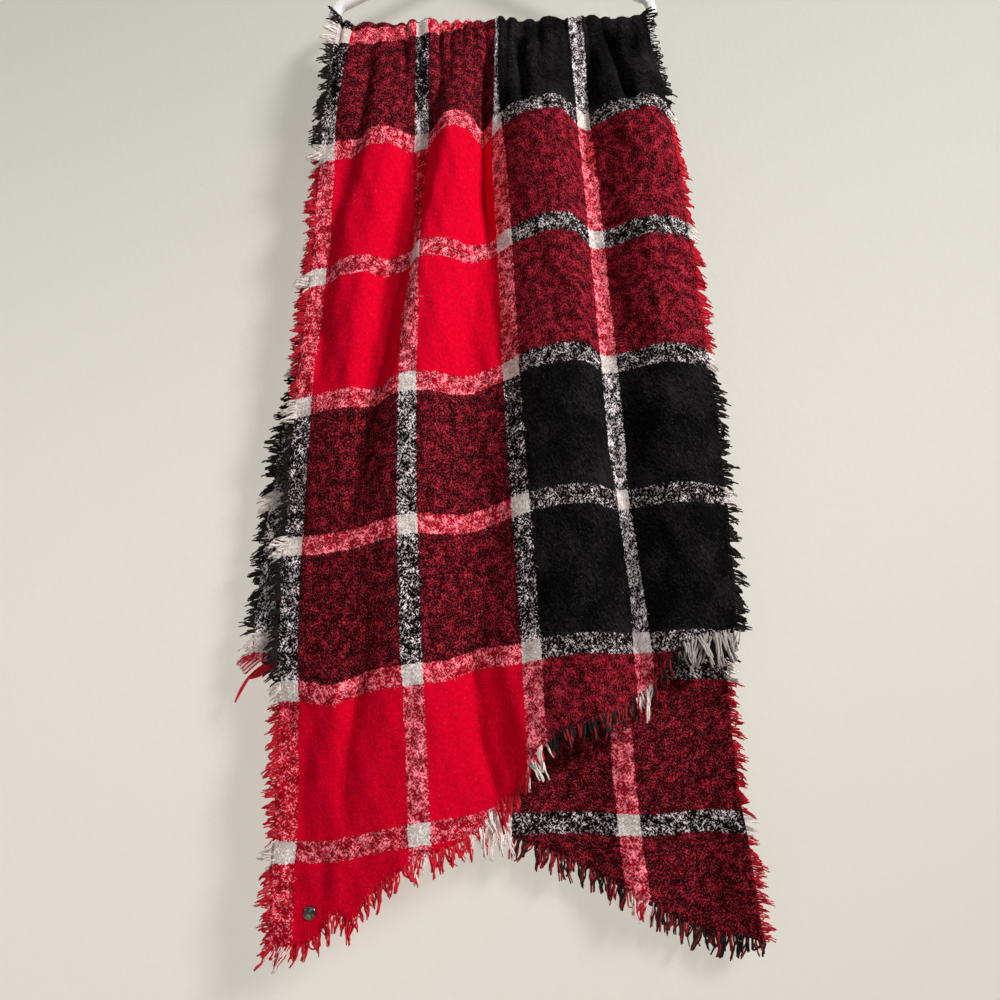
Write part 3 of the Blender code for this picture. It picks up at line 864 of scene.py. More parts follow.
# %% The cloth's material
def cloth_material():
    """Dash or ground, pink flecks on maroon, grey lint on black, and an uneven fibre tone."""
    finish, tree, shader = start_material("brushed_plaid", {"Roughness": 0.95, "Specular IOR Level": 0.02})
    place = wire(tree, "ShaderNodeUVMap", "UV", uv_map="flat_place")
    yarns = use_group(PLAID, {"Place": place})
    weave = use_group(WEAVE, {"Place": place, "Veil": yarns["Veil"], "Mixed": yarns["Mixed"]})
    colour = mix_colours(weave["Dash Shows"], yarns["Ground Colour"], yarns["Dash Colour"])
    colour = mix_colours(weave["Flecks"] * 0.45 * yarns["Maroon"], colour, PINK_FLECK)
    patches = noise(place, 15.0, 2.0, 0.3)
    fuzz = (weave["Streaks"] + noise(place, HAIR_GRAIN)) * 0.30 + patches * 0.40
    lint = soft_step(fuzz, 0.45, 0.64, 0.03, 0.52)
    colour = mix_colours(yarns["Coal"] * lint, colour, LINT)
    stray = soft_step(noise(place, 420.0, 1.0), 0.70, 0.80, 0.0, 0.08)
    colour = mix_colours(stray, colour, CREAM)
    looks = {
        "Base Color": scaled(colour, weave["Tone"]),
        "Roughness": soft_step(weave["Tone"], 0.6, 1.2, 0.99, 0.90),
        "Normal": bump(weave["Height"], 0.4, 0.0010),
    }
    feed(shader.inputs, looks)
    return finish


brushed_plaid = cloth_material()
print("material of the panel:", brushed_plaid.name)

# %% The loose yarns' materials
YARN_LINT = (0.0225, 0.0190, 0.0175)


def yarn_material(name, brighten):
    """Loose yarn: the warp or weft colour of its root, darkened by its own shade."""
    finish, tree, shader = start_material(name, {"Roughness": 0.95, "Specular IOR Level": 0.04})
    yarns = use_group(PLAID, {"Place": wire(tree, "ShaderNodeUVMap", "UV", uv_map="flat_place")})
    warp_share = wire(tree, "ShaderNodeAttribute", "Fac", attribute_name="warp_share")
    shade = wire(tree, "ShaderNodeAttribute", "Fac", attribute_name="shade")
    strand = noise(wire(tree, "ShaderNodeTexCoord", "Object"), 700.0)
    tone = soft_step(strand, 0.3, 0.7, 0.82 * brighten, 1.15 * brighten) * shade
    toned = scaled(mix_colours(warp_share, yarns["Weft Colour"], yarns["Warp Colour"]), tone)
    looks = {
        "Base Color": wire(tree, "ShaderNodeVectorMath", 0, {0: toned, 1: YARN_LINT}, operation="ADD"),
        "Roughness": soft_step(strand, 0.3, 0.7, 0.98, 0.85),
        "Normal": bump(strand, 0.4, 0.0006),
    }
    feed(shader.inputs, looks)
    return finish


fringe_yarn = yarn_material("frayed_yarn", 1.04)
nap_yarn = yarn_material("loose_nap", 1.0)
print("materials of the yarns:", fringe_yarn.name, nap_yarn.name)


# %% [markdown]
# ## The panel
# One continuous sheet runs from the front's cut end, up and over the bar, to the back's cut end. It
# could be cut into three pieces, as the solids are, but real cloth has no seam there. Solidify
# gives it a thin wall.

# %% Weave the panel
COLUMNS = 196
FRONT_ROWS = 118
BAR_ROWS = 34
BACK_ROWS = 94
FRAY_WAVES = (61.0, 97.0, 143.0)
FRAY_HEIGHT = 0.0011


def panel_places():
    """Rows of (across, along): evenly down each fall, and closer together over the bar."""
    across = np.linspace(0.0, WIDTH, COLUMNS + 1)
    below = QUARTER_TURN + OVER_BAR_DROP
    top = on_bar(across)
    frayed = np.sin(2 * np.pi * np.outer(FRAY_WAVES, across) + 1.7).sum(axis=0) * FRAY_HEIGHT
    front_end, back_end = cut_end(across, FRONT) + frayed, cut_end(across, BACK) + frayed[::-1]
    falling = np.linspace(1.0, 0.0, FRONT_ROWS + 1)[:-1, None]
    turning = np.linspace(below, -below, BAR_ROWS + 1)[:, None]
    hanging = np.linspace(0.0, 1.0, BACK_ROWS + 1)[1:, None]
    along = np.vstack([
        (top + below) + falling * (front_end - top - below),
        top + turning,
        (top - below) + hanging * (back_end - top + below),
    ])
    return np.broadcast_to(across, along.shape), along


across, along = panel_places()
points = cloth_point(across, along)
places = np.column_stack([across.ravel(), along.ravel()])
panel = mesh_from("scarf_panel", points.reshape(-1, 3), grid_faces(*across.shape), places)
wall = panel.modifiers.new("cloth_wall", "SOLIDIFY")
wall.thickness = WALL
wall.offset = 0.0
finish_piece(panel, brushed_plaid, "plaid_cloth", "front_fall", "over_bar", "back_fall")


# %% [markdown]
# ## The fringe
# Where the panel was cut, the crossing yarns are pulled out and the rest fall into locks. Each
# strand is a thin tapering tube, worked out for all strands at once: it leaves the edge, leans with
# its lock, droops under its own weight and twists round its neighbours. Some strands come back as a
# loop. A particle system could do this, but plain arrays keep each strand in its place on every run.

# %% Many strands at once
class FaceList(list):
    """Faces of unlike sizes, handed to a mesh as they are."""

    def tolist(self):
        return self


def strand_tubes(name, centres, radii, places, warp_share, shade, sides):
    """Tubes along many paths at once, closed at both ends.

    centres is (strands, rings, 3). A ring's corners stand radius away from its centre, on two
    directions square to the path.
    """
    strands, rings = centres.shape[:2]
    way = unit(np.gradient(centres, axis=1))
    side_way = unit(np.cross(way, np.array([0.31, 0.87, 0.38])))
    other_way = np.cross(way, side_way)
    angles = np.linspace(0.0, 2 * np.pi, sides, endpoint=False)[:, None]
    corner = side_way[:, :, None] * np.cos(angles) + other_way[:, :, None] * np.sin(angles)
    points = centres[:, :, None] + corner * radii[..., None, None]
    each = rings * sides
    start = (np.arange(strands) * each)[:, None, None]
    walls = (start + grid_faces(rings, sides, closed_columns=True)).reshape(-1, 4)
    root_cap = start[:, 0] + np.arange(sides)[::-1]
    tip_cap = start[:, 0] + each - sides + np.arange(sides)
    faces = FaceList([*walls.tolist(), *root_cap.tolist(), *tip_cap.tolist()])
    facts = {"warp_share": np.repeat(warp_share, each), "shade": np.repeat(shade, each)}
    return mesh_from(name, points.reshape(-1, 3), faces, np.repeat(places, each, axis=0), facts)


# %% What the locks are like
FRINGE_RINGS = 8
RED_TUFTS = 0.95
CREAM_TUFTS = 1.10
FREED_WEFT_TUFTS = 1.45
DARK_COLUMNS = 0.50
LOOSE_ALONG = 0.125
CORNER_REACH = 0.032
ROOT_DEPTH = 0.0035
INSIDE_EDGE = 0.010
LOOP_WIDTH = 0.0038
LOOP_REACH = 0.78
LOOP_TURN = 0.95 * np.pi
TWIST = 2.4 * np.pi
NARROWS = 0.25
END_LENGTH = 0.67
# The first number is for a long side, the second for a cut end; sizes are in metres
LOCK_FACTS = {
    "lock": (0.0098, 0.0078),
    "pitch": (0.00112, 0.00140),
    "length": (0.0195, 0.0225),
    "radius": (0.00086, 0.00108),
    "curl": (0.0007, 0.0012),
    "hook": (0.0012, 0.0046),
    "droop": (0.28, 0.92),
    "sag": (0.10, 0.05),
    "lean": (0.13, 0.17),
    "gather": (0.36, 0.74),
    "free": (-0.30, 0.00),
    "loops": (0.45, 0.30),
    "rounding": (0.42, 0.16),
    "darkest": (0.62, 0.80),
}
SIDE_STYLE, END_STYLE = ({fact: pair[kind] for fact, pair in LOCK_FACTS.items()} for kind in (0, 1))
print("a side's yarns are", SIDE_STYLE["length"], "long, an end's", END_STYLE["length"])


# %% Split an edge into locks
def make_locks(edge_length, style, chance):
    """Split an edge into locks of uneven width, and each lock into strands side by side.

    Returns each lock's middle, each strand's share of the edge, each strand's lock, and its offset:
    how far it stands from its lock's middle, from -1 to 1.
    """
    widths = chance.uniform(0.6, 1.4, int(edge_length / style["lock"]))
    stops = np.concatenate([[0.0], np.cumsum(widths)]) / widths.sum()
    counts = np.maximum(np.diff(stops) * edge_length / style["pitch"], 3).astype(int)
    lock_of = np.repeat(np.arange(len(widths)), counts)
    number = np.arange(len(lock_of)) - np.repeat(np.cumsum(counts) - counts, counts)
    offset = (number + 0.5) / counts[lock_of] * 2 - 1
    middle = (stops[:-1] + stops[1:]) / 2
    at = middle[lock_of] + offset * (np.diff(stops) / 2)[lock_of]
    return middle, np.clip(at, 0.0005, 0.9995), lock_of, offset


def tuft_length(place, on_end):
    """Cream tufts are the longest, and on the sides red ones are the shortest."""
    across, along = place[:, 0], place[:, 1]
    row = (along + ROW / 2) % ROW - ROW / 2
    column = (across - FIRST_STRIPE + COLUMN / 2) % COLUMN - COLUMN / 2
    cream = np.abs(column) < WARP_STRIPE / 2 if on_end else np.abs(row) < WEFT_STRIPE / 2
    red_row = (along + ROW) % (4 * ROW) > 2 * ROW
    plain = 1.0 if on_end else np.where(red_row, RED_TUFTS, 1.0)
    return np.where(cream, CREAM_TUFTS, plain)


def weft_is_cream(place):
    """True in the half of a cream weft stripe that lies nearer the bar: its yarns hang down loose."""
    from_middle = (place[:, 1] + ROW / 2) % ROW - ROW / 2
    return np.abs(from_middle * np.sign(place[:, 1]) + WEFT_STRIPE / 4) < WEFT_STRIPE / 4 + 0.004


# %% Paths of the strands
def strand_paths(lock_here, root, ways, locks, length, airy, corner, style, chance):
    """Paths of all strands of an edge; ways are outward, along the edge, and out of the cloth's face.

    path(t) = root + way * length * t + (lock's axis - root) * gathering + hook * t^2 + curl + sag.
    A looped strand goes out and comes back beside itself: its reach is sin(pi t) in place of t.
    Strands keep side by side at first and gather into their lock further out.
    """
    outward, edge_way, face_way = ways
    lock_of, offset = locks
    t = np.linspace(0.0, 1.0, FRINGE_RINGS)[None, :, None]
    strands = len(lock_of)

    def each_lock(low, high):
        return chance.uniform(low, high, lock_of.max() + 1)[lock_of, None]

    def lock_normal(spread):
        return chance.normal(0.0, spread, lock_of.max() + 1)[lock_of, None]

    droop = np.clip(style["droop"] * each_lock(0.6, 1.25) * (1 - 0.8 * airy[:, None]), 0.0, 1.0)
    rounded = (1.0 - style["rounding"] * offset[:, None] ** 2) * (1.0 + 0.15 * airy[:, None])
    length = length[:, None] * each_lock(0.75, 1.15) * rounded * chance.uniform(0.94, 1.03, (strands, 1))
    length = length[:, None]
    lean = lock_normal(style["lean"]) + chance.normal(0.0, 0.04, (strands, 1)) + corner[:, None]
    down = np.array([0.0, 0.0, -1.0])
    sway = face_way * (lock_normal(0.10) + chance.normal(0.0, 0.06, (strands, 1)))
    way = unit(outward * (1 - droop) + down * droop + edge_way * lean + sway)[:, None]
    looped = (chance.uniform(size=strands) < np.maximum(style["loops"], airy * 0.95))[:, None, None]
    reach = np.where(looped, LOOP_REACH * np.sin(LOOP_TURN * t), t) * length
    pull = style["gather"] * each_lock(0.7, 1.2)[:, None] * (1 - 0.7 * airy[:, None, None])
    late = ease((t - style["free"]) / (1 - style["free"]))
    gathering = np.where(looped, 0.5 * late, late) * pull
    beside = np.where(looped, (t - 0.5) * LOOP_WIDTH, 0.0) * edge_way[:, None]
    hook = edge_way[:, None] * lock_normal(style["hook"])[:, None] * t**2
    turn = chance.uniform(0, 2 * np.pi, (strands, 1, 1)) + TWIST * t
    across_way = np.cross(way[:, 0], face_way)[:, None]
    swing = style["curl"] * np.sin(np.pi * np.clip(t * 1.1, 0, 1))
    curl = swing * (np.cos(turn) * face_way[:, None] + np.sin(turn) * across_way)
    bow = style["sag"] * t**2 * length * down
    axis = (lock_here - root)[:, None]
    return root[:, None] + way * reach + axis * gathering + beside + hook + curl + bow


# %% Fray one edge
def make_fringe(name, seed, edge, style, nodes, warp_chance=0.0, airy_side=0.0, corner_lean=0.0, bare=0.0):
    """Fray one edge, which turns shares from 0 to 1 into (across, along).

    On an airy side the yarns beside the bar are sparse loops. Yarns near the left corner lean more,
    and those closer to it than bare are left out.
    """
    places_along_edge, edge_length, inward = edge
    on_end = warp_chance > 0
    chance = np.random.default_rng(seed)
    middle, at, lock_of, offset = make_locks(edge_length, style, chance)
    airy = airy_side * (np.abs(places_along_edge(at)[:, 1]) < LOOSE_ALONG)
    kept = (chance.uniform(size=len(at)) > 0.45 * airy) & (places_along_edge(at)[:, 0] >= bare)
    at, lock_of, offset, airy = at[kept], lock_of[kept], offset[kept], airy[kept]
    place = places_along_edge(at)
    lock_place = places_along_edge(middle)[lock_of]
    here, _, _, face_way = surface_at(*place.T)
    lock_here = surface_at(*lock_place.T)[0]
    ahead = cloth_point(*places_along_edge(np.clip(at + 0.001, 0, 1)).T)
    behind = cloth_point(*places_along_edge(np.clip(at - 0.001, 0, 1)).T)
    edge_way = unit(ahead - behind)
    outward = here - cloth_point(*(place + np.array(inward) * INSIDE_EDGE).T)
    outward = unit(outward - edge_way * (outward * edge_way).sum(axis=1)[:, None])
    root = here - outward * ROOT_DEPTH + face_way * chance.uniform(-0.0008, 0.0008, (len(at), 1))
    tufts = tuft_length(place, on_end)
    freed_weft = weft_is_cream(place) & on_end
    length = style["length"] * tufts * np.where(freed_weft, FREED_WEFT_TUFTS, 1.0)
    corner = corner_lean * np.exp(-((place[:, 0] / CORNER_REACH) ** 2))
    ways, locks = (outward, edge_way, face_way), (lock_of, offset)
    centres = strand_paths(lock_here, root, ways, locks, length, airy, corner, style, chance)
    t = np.linspace(0.0, 1.0, FRINGE_RINGS)
    thickness = style["radius"] * chance.uniform(0.8, 1.2, len(at)) * (1.0 - 0.30 * airy)
    radii = thickness[:, None] * (1.0 - NARROWS * t**3)
    warp_odds = warp_chance * np.where(freed_weft, 0.15, 1.0)
    warp_share = (chance.uniform(size=len(at)) < warp_odds).astype(float)
    past_red = place[:, 0] > RED_COLUMNS_END + WARP_STRIPE / 2
    in_dark = on_end & past_red & (tufts < CREAM_TUFTS)
    shade = chance.uniform(style["darkest"], 1.0, len(at)) * np.where(in_dark, DARK_COLUMNS, 1.0)
    fringe = strand_tubes(name, centres, radii, place, warp_share, shade, 4)
    finish_piece(fringe, fringe_yarn, "fringe_yarn", *nodes)
    return fringe


# %% Fray the four edges
def side_edge(across_at):
    """A long side: shares run from the back's cut end, over the bar, to the front's cut end."""
    start, stop = cut_end([across_at], BACK)[0], cut_end([across_at], FRONT)[0]

    def places_at(share):
        return np.column_stack([np.full(len(share), across_at), start + share * (stop - start)])

    return places_at, stop - start, (1.0 if across_at == 0.0 else -1.0, 0.0)


def end_edge(side):
    """A cut end: shares run from the left side to the right side."""

    def places_at(share):
        return np.column_stack([share * WIDTH, cut_end(share * WIDTH, side)])

    return places_at, END_LENGTH, (0.0, -float(side))


left_nodes = ("front_left_fringe", "back_left_fringe")
right_nodes = ("front_right_fringe", "back_right_fringe")
front_end = {"warp_chance": 0.65, "corner_lean": -0.75}
back_end = {"warp_chance": 0.55, "corner_lean": -1.5, "bare": 0.034}
fringes = [
    make_fringe("left_side_yarns", 11, side_edge(0.0), SIDE_STYLE, left_nodes),
    make_fringe("right_side_yarns", 12, side_edge(WIDTH), SIDE_STYLE, right_nodes, airy_side=1.0),
    make_fringe("front_end_yarns", 13, end_edge(FRONT), END_STYLE, ["front_end_fringe"], **front_end),
    make_fringe("back_end_yarns", 14, end_edge(BACK), END_STYLE, ["back_end_fringe"], **back_end),
]

# %% [markdown]
# ## The long yarns of one corner
# At the back's lower left corner the yarns hang in no even locks. There is a flat bunch of cream and
# red ones, a red bunch that narrows, and a tail that goes on from it. These are listed one by one:
# every bunch is a fan of strands beside one curve, with a width at its root, its middle and its tip.

# %% Lay the corner's bunches
# Strands, then root, middle and tip as (right, up) from the corner, the three widths, and how many
# of every four strands are cream
LONG_TUFTS = (
    (20, (0.0060, 0.0059), (-0.0045, -0.0010), (-0.0153, -0.0114), (0.017, 0.019, 0.018), 2),
    (16, (0.0210, -0.0078), (0.0075, -0.0160), (-0.0064, -0.0226), (0.008, 0.015, 0.001), 0),
    (6, (-0.0050, -0.0220), (-0.0120, -0.0300), (-0.0201, -0.0491), (0.001, 0.005, 0.0005), 0),
)
TUFT_RADIUS = 0.00062
IN_CREAM, IN_RED = FIRST_STRIPE, 2 * FIRST_STRIPE + WARP_STRIPE


def long_tufts(name, seed):
    """Strands side by side, each (1 - t)^2 root + 2 t (1 - t) middle + t^2 tip, from the corner on."""
    chance = np.random.default_rng(seed)
    corner = cloth_point(0.0, cut_end([0.0], BACK))[0]
    t = np.linspace(0.0, 1.0, FRINGE_RINGS)[None, :, None]
    weights = ((1 - t) ** 2, 2 * t * (1 - t), t**2)
    centres, hues = [], []
    for strands, *stops, widths, creams in LONG_TUFTS:
        stops = [corner + (right, 0.001, up) for right, up in stops]
        down_bunch = stops[2] - stops[0]
        beside = unit(np.cross(down_bunch, (0.0, 1.0, 0.0)))
        share = np.linspace(-0.5, 0.5, strands)[:, None] + chance.normal(0.0, 0.012, (strands, 1))
        longer = down_bunch * chance.normal(0.0, 0.04, (strands, 1))
        waver = np.array([0.0, 0.0012, 0.0]) * chance.normal(0.0, 1.0, (strands, 1))
        moves = (waver, longer / 2 - waver, longer)
        bunch = zip(weights, stops, widths, moves)
        centres.append(sum(
            weight * (stop + beside * share * width + move)[:, None] for weight, stop, width, move in bunch
        ))
        hues.append(np.where(np.arange(strands) % 4 < creams, IN_CREAM, IN_RED))
    hues = np.concatenate(hues)
    radii = np.full((len(hues), FRINGE_RINGS), TUFT_RADIUS)
    places = np.column_stack([hues, np.full(len(hues), BACK_END[0][1])])
    shade = chance.uniform(0.85, 1.0, len(hues))
    tufts = strand_tubes(name, np.concatenate(centres), radii, places, np.ones(len(hues)), shade, 5)
    finish_piece(tufts, fringe_yarn, "fringe_yarn")
    return tufts


corner_tufts = long_tufts("back_corner_yarns", 15)

# %% [markdown]
# ## The nap
# Brushing pulls fibre ends out of the yarn, and they lie over the cloth, leaning down and to the
# right. Short closed needles, one or two on each square centimetre, break up the plaid's edges and
# the folds' outlines as the real fibres do.

# %% Brush up the nap
NAP_FIBRES = 11000
NAP_RINGS = 3
NAP_RADIUS = 0.00019


def make_nap(name, side, seed):
    """Fibres at random places of one fall: each leaves the face, leans down and bends back."""
    chance = np.random.default_rng(seed)
    across = chance.uniform(0.002, WIDTH - 0.002, NAP_FIBRES)
    start = on_bar(across) + side * 0.004
    along = start + chance.uniform(0.0, 1.0, NAP_FIBRES) * (cut_end(across, side) - start)
    here, right, forth, outward = surface_at(across, along)
    lean = chance.normal(0.45, 1.10, (NAP_FIBRES, 1))
    way = unit(forth * side + right * lean)
    length = chance.uniform(0.002, 0.006, (NAP_FIBRES, 1))
    t = np.linspace(0.0, 1.0, NAP_RINGS)[None, :, None]
    bend = 0.0013 * np.sin(np.pi * 0.75 * t) * chance.uniform(0.4, 1.3, (NAP_FIBRES, 1, 1))
    rise = WALL / 2 - 0.0002 + bend
    sway = right[:, None] * (0.0011 * np.sin(2.6 * t + 6 * lean[:, None]))
    centres = here[:, None] + way[:, None] * length[:, None] * t + outward[:, None] * rise + sway
    radii = np.full((NAP_FIBRES, 1), NAP_RADIUS) * (1.0 - 0.55 * t[0, :, 0])
    warp_share = (chance.uniform(size=NAP_FIBRES) < 0.5).astype(float)
    shade = chance.uniform(0.7, 1.0, NAP_FIBRES)
    nap = strand_tubes(name, centres, radii, np.column_stack([across, along]), warp_share, shade, 3)
    finish_piece(nap, nap_yarn, "plaid_cloth")
    return nap


naps = [make_nap("front_nap", FRONT, 21), make_nap("back_nap", BACK, 22)]


# %% [markdown]
# ## The hanger
# It is one moulding of white plastic: a tube that runs round the arms and the bar, with a shallow
# flute down its front and back, and a slimmer hook on a tapering neck. A section carried along the
# centre line gives both, because the section may then change along the way.

# %% Carry a section along a path
ARM_SLOPE = np.radians(28.0)
APEX_RADIUS = 0.030
HOOK_RADIUS = 0.0045
HOOK_INSIDE = 0.020
NECK_RADIUS = 0.0068
NECK_TAPER = 0.022
TIP_LENGTH = 0.55 * 0.9 * HOOK_RADIUS
FLUTE = 0.10


def arc(centre, radius, start, stop, steps):
    """Points (x, z) of an arc, from one angle to another in degrees."""
    angles = np.radians(np.linspace(start, stop, steps + 1))
    return np.column_stack([centre[0] + radius * np.cos(angles), centre[1] + radius * np.sin(angles)])


def sweep(name, path, radii, closed, flute=0.0, sides=28):
    """Carry a section along a path in the hanger's plane.

    A section's point is centre + radius * (cos(angle) * the path's normal + sin(angle) * Y), and the
    flute pulls it in where |sin(angle)| is near 1.
    """
    ways = unit(np.roll(path, -1, axis=0) - np.roll(path, 1, axis=0) if closed else np.gradient(path, axis=0))
    normals = np.column_stack([ways[:, 1], np.zeros(len(path)), -ways[:, 0]])
    angles = np.linspace(0, 2 * np.pi, sides, endpoint=False)
    pull = 1.0 - flute * ease((np.abs(np.sin(angles)) - 0.80) / 0.16)
    reach = radii[:, None] * pull
    centres = np.column_stack([path[:, 0], np.zeros(len(path)), path[:, 1]])
    points = (
        centres[:, None]
        + normals[:, None] * (reach * np.cos(angles))[..., None]
        + np.array([0.0, 1.0, 0.0]) * (reach * np.sin(angles))[..., None]
    )
    return mesh_from(name, points.reshape(-1, 3), grid_faces(len(path), sides, closed, True))


# %% The frame's centre line
def frame_path():
    """The centre line round the arms and the bar, and the height of its peak."""
    slope = np.degrees(ARM_SLOPE)
    end = arc((BAR_HALF, BAR_HEIGHT + END_RADIUS), END_RADIUS, -90, 90 - slope, 26)
    peak = end[-1][1] + end[-1][0] * np.tan(ARM_SLOPE) - APEX_RADIUS / np.cos(ARM_SLOPE)
    crown = arc((0.0, peak), APEX_RADIUS, 90 - slope, 90, 8)
    half = np.vstack([end, crown[:-1]])
    top = peak + APEX_RADIUS
    return np.vstack([half, [[0.0, top]], half[::-1] * (-1, 1)]), top


path, peak = frame_path()
print("the arms meet at a height of", round(float(peak), 4))

# %% White plastic
CLOUDED_WHITE, CLEAR_WHITE = (0.83, 0.83, 0.81, 1.0), (0.90, 0.90, 0.89, 1.0)


def plastic_material():
    """White moulded plastic: faint clouding in its colour and gloss, and a soft orange-peel bump."""
    constants = {"Roughness": 0.3, "IOR": 1.49, "Subsurface Weight": 0.06, "Subsurface Scale": 0.004}
    finish, tree, shader = start_material("white_moulded_plastic", constants)
    position = wire(tree, "ShaderNodeTexCoord", "Object")
    cloud = soft_step(noise(position, 26.0, 3.0), 0.35, 0.7)
    scuff = noise(position, 320.0, 3.0)
    looks = {
        "Base Color": mix_colours(cloud, CLOUDED_WHITE, CLEAR_WHITE),
        "Roughness": soft_step(scuff, 0.45, 0.75, 0.24, 0.40),
        "Normal": bump(scuff, 0.12, 0.0004),
    }
    feed(shader.inputs, looks)
    return finish


white_plastic = plastic_material()
print("material of the hanger:", white_plastic.name)


# %% The hook's centre line and its radii
def hook_path_and_radii(peak):
    """Up a tapering neck, round a hook whose top inside is the origin, and to a rounded tip."""
    foot, top = peak + BAR_RADIUS * 0.55, -2 * HOOK_INSIDE - HOOK_RADIUS
    neck = np.column_stack([np.zeros(10), np.linspace(foot, top, 11)[:-1]])
    loop = arc((0.0, -HOOK_INSIDE), HOOK_INSIDE + HOOK_RADIUS, -90, 195, 60)
    tip_angles = np.radians([22.0, 45.0, 66.0, 82.0, 89.9])
    tip = loop[-1] + unit(loop[-1] - loop[-2]) * (TIP_LENGTH * np.sin(tip_angles))[:, None]
    taper = NECK_RADIUS + (HOOK_RADIUS - NECK_RADIUS) * ease((neck[:, 1] - foot) / NECK_TAPER)
    radii = np.hstack([taper, np.full(len(loop), HOOK_RADIUS), HOOK_RADIUS * np.cos(tip_angles)])
    return np.vstack([neck, loop, tip]), radii


# %% Mould the frame and the hook
hanger = sweep("moulded_frame", path, np.full(len(path), BAR_RADIUS), True, FLUTE)
finish_piece(hanger, white_plastic, "white_plastic", "hanger_frame")
hook = sweep("moulded_hook", *hook_path_and_radii(peak), False)
finish_piece(hook, white_plastic, "white_plastic", "hanger_hook")


# %% [markdown]
# ## The stud
# A small domed stud of dark metal is pressed through the cloth near the front's left corner. It is
# turned from a profile: a raised rim, a groove, and a low dome.

# %% Dark plated metal
WORN_METAL, RUBBED_METAL = (0.060, 0.060, 0.052, 1.0), (0.30, 0.30, 0.27, 1.0)


def metal_material():
    """Dark plated metal, duller in some small patches and brighter in others, where it is rubbed."""
    finish, tree, shader = start_material("dark_plated_metal", {"Roughness": 0.35, "Metallic": 1.0})
    tarnish = noise(wire(tree, "ShaderNodeTexCoord", "Object"), 420.0, 4.0)
    looks = {
        "Base Color": mix_colours(soft_step(tarnish, 0.35, 0.7), WORN_METAL, RUBBED_METAL),
        "Roughness": soft_step(tarnish, 0.3, 0.7, 0.34, 0.18),
        "Normal": bump(tarnish, 0.25, 0.0003),
    }
    feed(shader.inputs, looks)
    return finish


dark_metal = metal_material()
print("material of the stud:", dark_metal.name)

# %% Press in the stud
STUD_ACROSS = 0.043
STUD_ALONG = 1.056
STUD_HALF_WIDTH = 0.0070
STUD_HALF_HEIGHT = 0.0071
STUD_CORNERS = 48
STUD_SEAT = 0.0006
# Each row is a share of the half width, and a height over the seat
STUD_PROFILE = (
    (0.02, 0.0027),
    (0.30, 0.0025),
    (0.60, 0.0019),
    (0.76, 0.0012),
    (0.82, 0.0011),
    (0.88, 0.0018),
    (0.95, 0.0017),
    (1.00, 0.0009),
    (1.00, -0.0003),
)


def make_stud():
    """Turn the profile round an oval: (share * half width * cos, share * half height * sin, height)."""
    here, right, forth, outward = surface_at(np.array([STUD_ACROSS]), np.array([STUD_ALONG]))
    share, height = np.array(STUD_PROFILE).T
    angles = np.linspace(0, 2 * np.pi, STUD_CORNERS, endpoint=False)
    seat = here + outward * (WALL / 2 + STUD_SEAT)
    points = (
        seat
        + right * (STUD_HALF_WIDTH * np.outer(share, np.cos(angles)))[..., None]
        + forth * (STUD_HALF_HEIGHT * np.outer(share, np.sin(angles)))[..., None]
        + outward * height[:, None, None]
    )
    rings = points.reshape(-1, 3)
    middle, foot = seat + outward * height[0], seat + outward * height[-1]
    last = len(rings) - STUD_CORNERS
    around = np.arange(STUD_CORNERS)
    following = (around + 1) % STUD_CORNERS
    sides = grid_faces(len(share), STUD_CORNERS, closed_columns=True)
    top = np.column_stack([np.full(STUD_CORNERS, len(rings)), following, around])
    base = np.column_stack([np.full(STUD_CORNERS, len(rings) + 1), last + around, last + following])
    faces = FaceList([*sides.tolist(), *top.tolist(), *base.tolist()])
    return mesh_from("plated_stud", np.vstack([rings, middle, foot]), faces)


stud = make_stud()
finish_piece(stud, dark_metal, "dark_metal", "metal_stud")

# %% [markdown]
# ## The studio
# A pale floor far below and a pale backdrop close behind, as if the hanger hung on a wall. The
# backdrop lets light through from behind and can't be seen from there, so the scarf's back can be
# looked at too.

# %% Set the stage
FLOOR_HEIGHT = -1.90
WALL_PLACE = 0.047
WALL_HEIGHT = 3.90
# The backdrop's glow is painted light, and the darker paint at its top is painted shade
WALL_GLOW = 0.566
WALL_PAINT = 0.44
LOW_PAINT, TOP_PAINTED_SHADE = (0.815, 0.786, 0.703, 1.0), (0.56, 0.545, 0.488, 1.0)


def plane(name, corner, first_way, second_way, finish):
    """One flat quad of the stage: a corner, and the two ways that its sides run from there."""
    corner, first_way, second_way = np.array([corner, first_way, second_way], float)
    corners = np.array([corner, corner + first_way, corner + first_way + second_way, corner + second_way])
    sheet = mesh_from(name, corners, np.array([[0, 1, 2, 3]]))
    sheet.data.materials.append(finish)
    return sheet


def backdrop_material():
    """Pale paint that can't be seen from behind, with painted shade that makes it a little darker
    towards the top and the right.

    It also glows with painted light, which stands in for the light that falls on a lit backdrop, so that
    shadows on it stay soft.
    """
    finish, tree, shader = start_material("backdrop_with_painted_light", {"Roughness": 0.8, "Emission Strength": WALL_GLOW})
    clear = wire(tree, "ShaderNodeBsdfTransparent", 0)
    behind = wire(tree, "ShaderNodeNewGeometry", "Backfacing")
    seen = wire(tree, "ShaderNodeMixShader", 0, {0: behind, 1: Wire(shader.outputs[0]), 2: clear})
    feed(tree.nodes["Material Output"].inputs, {"Surface": seen})
    position = wire(tree, "ShaderNodeTexCoord", "Object")
    parts = xyz_of(position)
    colour = mix_colours(soft_step(parts["Z"], -1.1, 0.2), LOW_PAINT, TOP_PAINTED_SHADE)
    # Painted shade: a little darker towards the right, where the key light is nearer
    with_painted_shade = scaled(colour, soft_step(parts["X"], -0.5, 0.5, 0.995, 0.985))
    looks = {
        "Base Color": scaled(with_painted_shade, WALL_PAINT),
        "Emission Color": with_painted_shade,
        "Normal": bump(noise(position, 110.0), 0.18, 0.002),
    }
    feed(shader.inputs, looks)
    return finish


